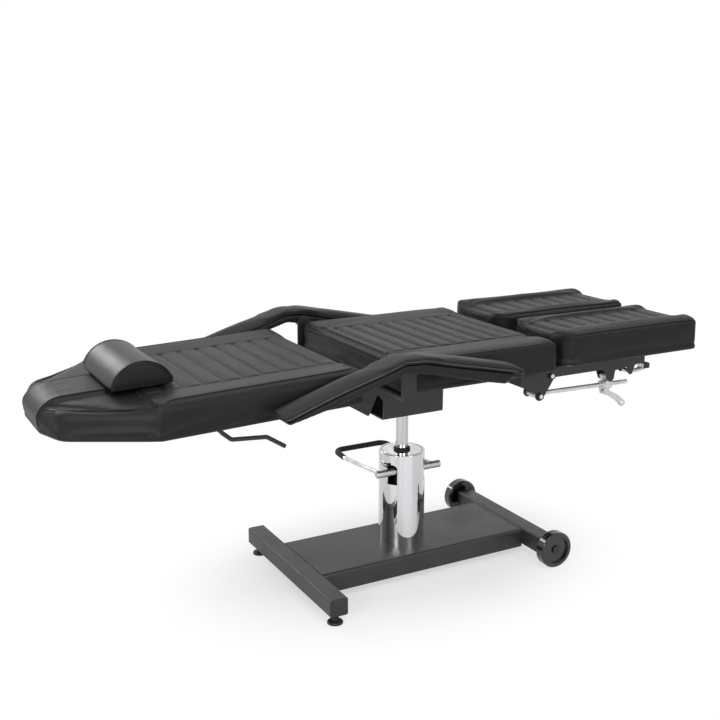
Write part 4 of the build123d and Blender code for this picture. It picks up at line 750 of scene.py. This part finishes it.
soft_copy("seat_cover", "seat_cushion", voxel=0.006, slack=0.003, held=seat_held)
soft_copy("backrest_cover", "backrest_cushion", voxel=0.006, slack=0.003, held=back_held, level=laid_back,
          shaped=rounded_tip)
for side in SIDES:
    soft_copy("leg_cover_" + side, "leg_cushion_" + side, voxel=0.0055, slack=0.003, held=leg_held)
    soft_copy("armrest_pad_cover_" + side, "armrest_pad_" + side, voxel=0.004, slack=0.001,
              held=lambda p: 0.0, passes=14)
    soft_copy("armrest_base_cover_" + side, "armrest_base_" + side, voxel=0.004, slack=0.0005,
              held=lambda p: 0.3)
soft_copy("pillow_cover", "head_pillow", voxel=0.005, slack=0.002, held=lambda p: float(p.z < 652.5),
          level=laid_back, shaped=crowned_end)
swell(pressure=4.0, frames=20)

caps = {"seat_cover": 0.005, "backrest_cover": 0.005, "leg_cover_right": 0.005, "leg_cover_left": 0.005,
        "armrest_pad_cover_right": 0.0018, "armrest_pad_cover_left": 0.0018,
        "armrest_base_cover_right": 0.0008, "armrest_base_cover_left": 0.0008, "pillow_cover": 0.001}
for name, cap in caps.items():
    settle(name, cap)


# %% Which faces each line runs over
def seat_top(p):
    return p.z > seat_top_z and abs(p.y) < seat_top_y and -130.0 < p.x < 304.0


def seat_wall(p):
    return abs(p.y) > wall_y or p.x < -150.0 or p.x > 285.0


def back_top(p):
    return p.z > back_top_z and abs(p.y) < back_top_y and -768.0 < p.x < -266.0


def back_wall(p):
    return (abs(p.y) > 248.0 and p.x > turn_start) or p.x > -288.0


def turn_wall(p):
    return turn_end <= p.x <= turn_start and abs(p.y) > 225.0


def wedge_wall(p):
    return p.x < turn_end and abs(p.y) > strip_y


def tip_strip(p):
    return p.x < -700.0 and p.z > 586.0 and (p.x < -960.0 or p.z > 630.0)


def leg_top(p):
    return p.z > 652.0 and leg_inner_y < abs(p.y) < leg_outer_y and 356.0 < p.x < 793.0


def leg_wall(p):
    at_an_end = p.x > 770.0 or p.x < 360.0
    return abs(p.y) > wall_y or abs(p.y) < 40.0 or (at_an_end and not 70.0 < abs(p.y) < 215.0)


def leg_end(p):
    return (p.x > 780.0 or p.x < 350.0) and 100.0 < abs(p.y) < 184.0


# %% Sew the seat and the backrest
# Each kind of line has its depth and its reach in millimetres.
deep_channel, channel = (4.2, 11.0), (3.8, 10.0)
panel_seam, leg_panel_seam, strip_seam, side_seam = (2.6, 7.0), (2.4, 7.0), (2.0, 6.0), (1.8, 6.0)
turn_seam = round_about(641.0, slope=0.2, x=(turn_start + turn_end) / 2)
seat_lines = [(crosswise(row), seat_top, *deep_channel) for row in seat_rows]
seat_lines += [(lengthwise(sign * seat_panel_y), seat_top, *panel_seam) for sign in SIDES.values()]
seat_lines += [(round_about(seat_seam_z), seat_wall, *side_seam)]
sew("seat_cover", seat_lines)

back_lines = [(crosswise(row), back_top, *channel) for row in back_rows]
back_lines += [(lengthwise(sign * back_panel_y), back_top, *panel_seam) for sign in SIDES.values()]
back_lines += [(lengthwise(sign * strip_y), tip_strip, *strip_seam) for sign in SIDES.values()]
back_lines += [(round_about(back_seam_z), back_wall, *side_seam),
               (round_about(wedge_seam_z), wedge_wall, *side_seam), (turn_seam, turn_wall, *side_seam)]
back_folds = []
for sign in SIDES.values():
    back_folds += [((-772.0, sign * 286.0, 628.0), (-764.0, sign * 286.0, 586.0), 9.0, 2.6),
                   ((-748.0, sign * 286.0, 634.0), (-742.0, sign * 286.0, 602.0), 10.0, -1.6),
                   ((-800.0, sign * 268.0, 630.0), (-792.0, sign * 268.0, 606.0), 11.0, -1.4)]
sew("backrest_cover", back_lines, back_folds)

# %% Sew the leg rests
for side, sign in SIDES.items():
    leg_lines = [(crosswise(row), leg_top, *channel) for row in leg_rows]
    leg_lines += [(lengthwise(sign * edge), leg_top, *leg_panel_seam) for edge in leg_panel_ys]
    leg_lines += [(round_about(leg_seam_z), leg_wall, *side_seam),
                  (round_about(leg_end_seam_z), leg_end, *side_seam)]
    folds = [((343.0, sign * 262.0, 652.0), (338.0, sign * 258.0, 600.0), 7.0, 2.2),
             ((362.0, sign * 280.0, 650.0), (356.0, sign * 281.0, 612.0), 8.0, -1.8),
             ((376.0, sign * 285.0, 650.0), (372.0, sign * 286.0, 618.0), 6.0, 1.5)]
    sew("leg_cover_" + side, leg_lines, folds)
for side in SIDES:
    sew("armrest_pad_cover_" + side, [])
    sew("armrest_base_cover_" + side, [])
sew("pillow_cover", [])

dress("seat_cover", "seat", leather)
dress("backrest_cover", "backrest", leather)
dress("pillow_cover", "pillow", smooth_leather)
for side in SIDES:
    dress("leg_cover_" + side, "leg_" + side, leather)
    dress("armrest_pad_cover_" + side, "armrest_" + side, leather)
    dress("armrest_base_cover_" + side, "armrest_" + side, leather)
print("covers:", sorted(covers))

# %% [markdown]
# ## Piping and thread
# A piped seam is a strip of leather folded round a cord and caught between two panels. Its path is
# drawn in millimetres near the cushion, and each point of it is dropped onto the finished cover, so the
# pipe hugs the swollen shape. The same paths carry the stitches, which are small beads of thread.

# %% Drop a path onto a cover
def divided(path, spacing, closed=False):
    """The path's points, with more between them so that none are further apart than the spacing."""
    points = [Vector(p) for p in path]
    ends = points[1:] + points[:1] if closed else points[1:]
    fine = []
    for start, end in zip(points, ends):
        steps = max(1, math.ceil((end - start).length / spacing))
        fine += [start.lerp(end, step / steps) for step in range(steps)]
    return fine if closed else fine + [points[-1]]


def rounded(corners, radius, height):
    """A closed outline in plan with every corner rounded."""
    path = []
    for before, corner, after in zip(corners[-1:] + corners[:-1], corners, corners[1:] + corners[:1]):
        corner = Vector((*corner, height))
        start = corner + (Vector((*before, height)) - corner).normalized() * radius
        end = corner + (Vector((*after, height)) - corner).normalized() * radius
        for step in range(7):
            share = step / 6
            path.append(start.lerp(corner, share).lerp(corner.lerp(end, share), share))
    return path


def dropped(name, path, aim=None):
    """Where the path lies on a cover: places and outward directions in metres."""
    cover = covers[name]
    search = 0.05
    found = []
    for point in path:
        place = cover["level"] @ (point * MM)
        if aim:
            course = (cover["level"].to_3x3() @ Vector(aim(point) if callable(aim) else aim)).normalized()
            spot, facing = cover["skin"].ray_cast(place - course * search, course, 2 * search)[:2]
        else:
            spot, facing = cover["skin"].find_nearest(place, search)[:2]
        if spot:
            found.append((spot, facing))
    return found


def inward(x_low, x_high, y_low, y_high):
    """Aims each point of a loop level towards the core of its cushion."""
    return lambda p: (min(max(p.x, x_low), x_high) - p.x, min(max(p.y, y_low), y_high) - p.y, 0.0)


def dipped(p):
    """At both ends of a leg rest the seam runs under the hollow between the two rolls."""
    middle = max(0.0, 1.0 - abs(abs(p.y) - 142.0) / 75.0) if p.x > 780.0 or p.x < 345.0 else 0.0
    return p - Vector((0.0, 0.0, 24.0 * min(1.0, middle * 2.0)))


def eased(hits, closed, passes=4):
    """The same points with the small jumps between them averaged out."""
    for _ in range(passes):
        before = hits[-1:] + hits[:-1] if closed else hits[:1] + hits[:-1]
        after = hits[1:] + hits[:1] if closed else hits[1:] + hits[-1:]
        hits = [((a[0] + b[0] * 2 + c[0]) / 4, b[1]) for a, b, c in zip(before, hits, after)]
    return hits


# %% Piping and stitches along dropped points
def piping(name, cover, hits, radius, proud, closed=False, finish=None):
    """A round pipe of leather, sunk so that only its outer part stands proud."""
    hits = eased(hits, closed)
    curve = bpy.data.curves.new(name, "CURVE")
    curve.dimensions = "3D"
    curve.bevel_depth, curve.bevel_resolution, curve.use_fill_caps = radius, 2, True
    spline = curve.splines.new("POLY")
    spline.points.add(len(hits) - 1)
    spline.use_cyclic_u = closed
    for spot, (place, facing) in zip(spline.points, hits):
        spot.co = (*(place + facing * radius * proud), 1.0)
    shell = bpy.data.objects.new(name, curve)
    scene.collection.objects.link(shell)
    bpy.context.view_layer.update()
    mesh = bpy.data.meshes.new_from_object(shell.evaluated_get(bpy.context.evaluated_depsgraph_get()))
    bpy.data.objects.remove(shell)
    mesh.materials.append(finish or welt_leather)
    for face in mesh.polygons:
        face.use_smooth = True
    piece = bpy.data.objects.new(name, mesh)
    scene.collection.objects.link(piece)
    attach(piece, covers[cover]["body"])
    print(name, "is", len(mesh.polygons), "faces long")


def stitching(name, cover, runs, bead=0.0028, thick=0.0005, lift=0.0, finish=None):
    """Beads of thread end to end along each run of dropped points, made in small batches for speed."""
    batch, segments, rings = 12, 6, 4
    shape = bmesh.new()
    for hits in runs:
        for first in range(0, len(hits) - 1, batch):
            run = bmesh.new()
            last = first + batch
            for (start, facing), (end, _) in zip(hits[first:last], hits[first + 1:last + 1]):
                along = (end - start).normalized()
                side = facing.cross(along).normalized()
                turn = Matrix((along, side, facing)).transposed().to_4x4()
                place = Matrix.Translation((start + end) / 2 + facing * lift)
                size = Matrix.Diagonal((bead / 2, thick, thick, 1.0))
                bmesh.ops.create_uvsphere(run, u_segments=segments, v_segments=rings, radius=1.0,
                                          matrix=place @ turn @ size)
            sewn = bpy.data.meshes.new(name + "_run")
            run.to_mesh(sewn)
            run.free()
            shape.from_mesh(sewn)
            bpy.data.meshes.remove(sewn)
    count = len(shape.faces) // (segments * rings)
    for face in shape.faces:
        face.smooth = True
    piece = new_piece(name, shape, finish or thread)
    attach(piece, covers[cover]["body"])
    print(name, "has", count, "stitches")


# %% Thread in the panel seams
down, stitch = (0.0, 0.0, -1.0), 4.2
above_seat, above_back, above_leg = 662.0, 656.0, 674.0


def side_to_side(x, y_from, y_to, z):
    return divided([(x, y_from, z), (x, y_to, z)], stitch)


def head_to_foot(y, x_from, x_to, z):
    return divided([(x_from, y, z), (x_to, y, z)], stitch)


runs = [side_to_side(row, -156.0, 156.0, above_seat) for row in seat_rows]
runs += [head_to_foot(sign * seat_panel_y, seat_start, seat_end, above_seat) for sign in SIDES.values()]
stitching("seat_panel_thread", "seat_cover", [dropped("seat_cover", run, down) for run in runs])
runs = [side_to_side(row, -162.0, 162.0, above_back) for row in back_rows]
runs += [head_to_foot(sign * back_panel_y, back_start, -275.0, above_back) for sign in SIDES.values()]
stitching("backrest_panel_thread", "backrest_cover", [dropped("backrest_cover", run, down) for run in runs])
for side, sign in SIDES.items():
    name = "leg_cover_" + side
    runs = [side_to_side(row, sign * 84.0, sign * 200.0, above_leg) for row in leg_rows]
    runs += [head_to_foot(sign * edge, 372.0, leg_foot, above_leg) for edge in leg_panel_ys]
    stitching("leg_panel_thread_" + side, name, [dropped(name, run, down) for run in runs])

# %% Piping round the seat and the leg rests
spacing = 8.0
seat_plan = [(-175.0, -290.0), (313.0, -290.0), (313.0, 290.0), (-175.0, 290.0)]
seat_loop = divided(rounded(seat_plan, 26.0, seat_seam_z), spacing, True)
hits = dropped("seat_cover", seat_loop, inward(-110.0, 250.0, -215.0, 215.0))
piping("seat_side_welt", "seat_cover", hits, radius=0.0013, closed=True, proud=0.2)
for z in (641.0, 631.0):
    hits = dropped("seat_cover", divided([(-180.0, -262.0, z), (-180.0, 262.0, z)], spacing), (1.0, 0.0, 0.0))
    piping("seat_head_welt_" + str(int(z)), "seat_cover", hits, radius=0.0015, proud=0.5)
for side, sign in SIDES.items():
    name = "leg_cover_" + side
    leg_plan = [(323.0, sign * 8.0), (800.0, sign * 8.0), (800.0, sign * 291.0), (323.0, sign * 291.0)]
    y_low, y_high = sorted((sign * 75.0, sign * 225.0))
    leg_loop = [dipped(p) for p in divided(rounded(leg_plan, 34.0, leg_seam_z), spacing, True)]
    hits = dropped(name, leg_loop, inward(395.0, 780.0, y_low, y_high))
    piping("leg_side_welt_" + side, name, hits, radius=0.0013, closed=True, proud=0.2)

# %% Piping along the backrest and over its tapered head
head_edge = [(-257.0, 240.0, back_seam_z), (-257.0, 265.0, back_seam_z), (-275.0, 290.0, back_seam_z),
             (-735.0, 290.0, back_seam_z), (-768.0, 290.0, 642.4), (-790.0, 280.0, 638.0),
             (-815.0, 266.0, wedge_seam_z), (-905.0, 205.0, wedge_seam_z), (-945.0, 180.0, 632.0),
             (-970.0, 150.0, 630.0), (-985.0, 110.0, 627.0), (-990.0, 78.0, 625.0)]
strip_edge = [(-702.0, 656.0), (-940.0, 650.0), (-968.0, 636.0), (-984.0, 616.0), (-986.0, 596.0),
              (-976.0, 580.0)]
for side, sign in SIDES.items():
    edge = divided([(x, sign * y, z) for x, y, z in head_edge], spacing)
    hits = dropped("backrest_cover", edge, inward(-880.0, -320.0, -110.0, 110.0))
    piping("backrest_side_welt_" + side, "backrest_cover", hits, radius=0.0014, proud=0.2)
    hits = dropped("backrest_cover", divided([(x, sign * strip_y, z) for x, z in strip_edge], 7.0))
    piping("backrest_strip_welt_" + side, "backrest_cover", hits, radius=0.0011, proud=0.1)

# %% Cross seams on the head of the strip
runs = [side_to_side(x, -70.0, 70.0, above_back) for x in (-918.0, -911.0)]
runs += [head_to_foot(y, -945.0, -880.0, above_back) for y in (-30.0, 30.0)]
stitching("backrest_head_thread", "backrest_cover", [dropped("backrest_cover", run, down) for run in runs],
          lift=0.0002)

# %% Armrest welts and their line of stitches
arm_seam = [(-526.0, 588.0), (-509.0, 575.5), (-377.0, 620.0), (-204.0, 671.0), (-150.0, 669.0),
            (-74.0, 651.0), (112.0, 611.0), (143.0, 600.0)]
foot_turn = [(136.0, 357.0, 603.0), (146.0, 340.0, 600.0), (146.0, 317.0, 600.0), (136.0, 300.0, 603.0)]
head_turn = [(-522.0, 300.0, 582.0), (-530.0, 317.0, 590.0), (-530.0, 340.0, 590.0), (-522.0, 357.0, 582.0)]
outer_y, inner_y, thread_y = 365.5, 291.5, 366.0
outer = [(x, outer_y, z + 1.0) for x, z in arm_seam[1:-1]]
inner = [(x, inner_y, z + 1.0) for x, z in arm_seam[1:-1]]
arm_loop = outer + foot_turn + inner[::-1] + head_turn
for side, sign in SIDES.items():
    name = "armrest_pad_cover_" + side
    path = divided([(x, sign * y, z) for x, y, z in arm_loop], 7.0, True)
    piping("armrest_welt_" + side, name, dropped(name, path), radius=0.0021, closed=True, proud=0.3,
           finish=smooth_leather)
    run = dropped(name, divided([(x, sign * thread_y, z + 6.0) for x, z in arm_seam[1:-1]], stitch))
    # Pale thread: partly real grey stitches, partly a painted highlight along the welt.
    stitching("armrest_thread_painted_highlight_" + side, name, [run], bead=0.0032, thick=0.0007, lift=0.0003,
              finish=pale_thread_and_highlight)

# %% Piped ends of the pillow
for side, sign in SIDES.items():
    for part, shrink, y, radius in (("rim", 1.0, 125.0, 0.0022), ("face", 0.9, 130.0, 0.0016)):
        reach = pillow_sweep * shrink
        arc = [(pillow_x + reach * math.cos(a), sign * y, pillow_z + reach * math.sin(a))
               for a in (math.radians(162.0 - step * 6.0) for step in range(25))]
        hits = dropped("pillow_cover", divided(arc, 5.0))
        piping("pillow_" + part + "_welt_" + side, "pillow_cover", hits, radius=radius, proud=0.3,
               finish=smooth_leather)
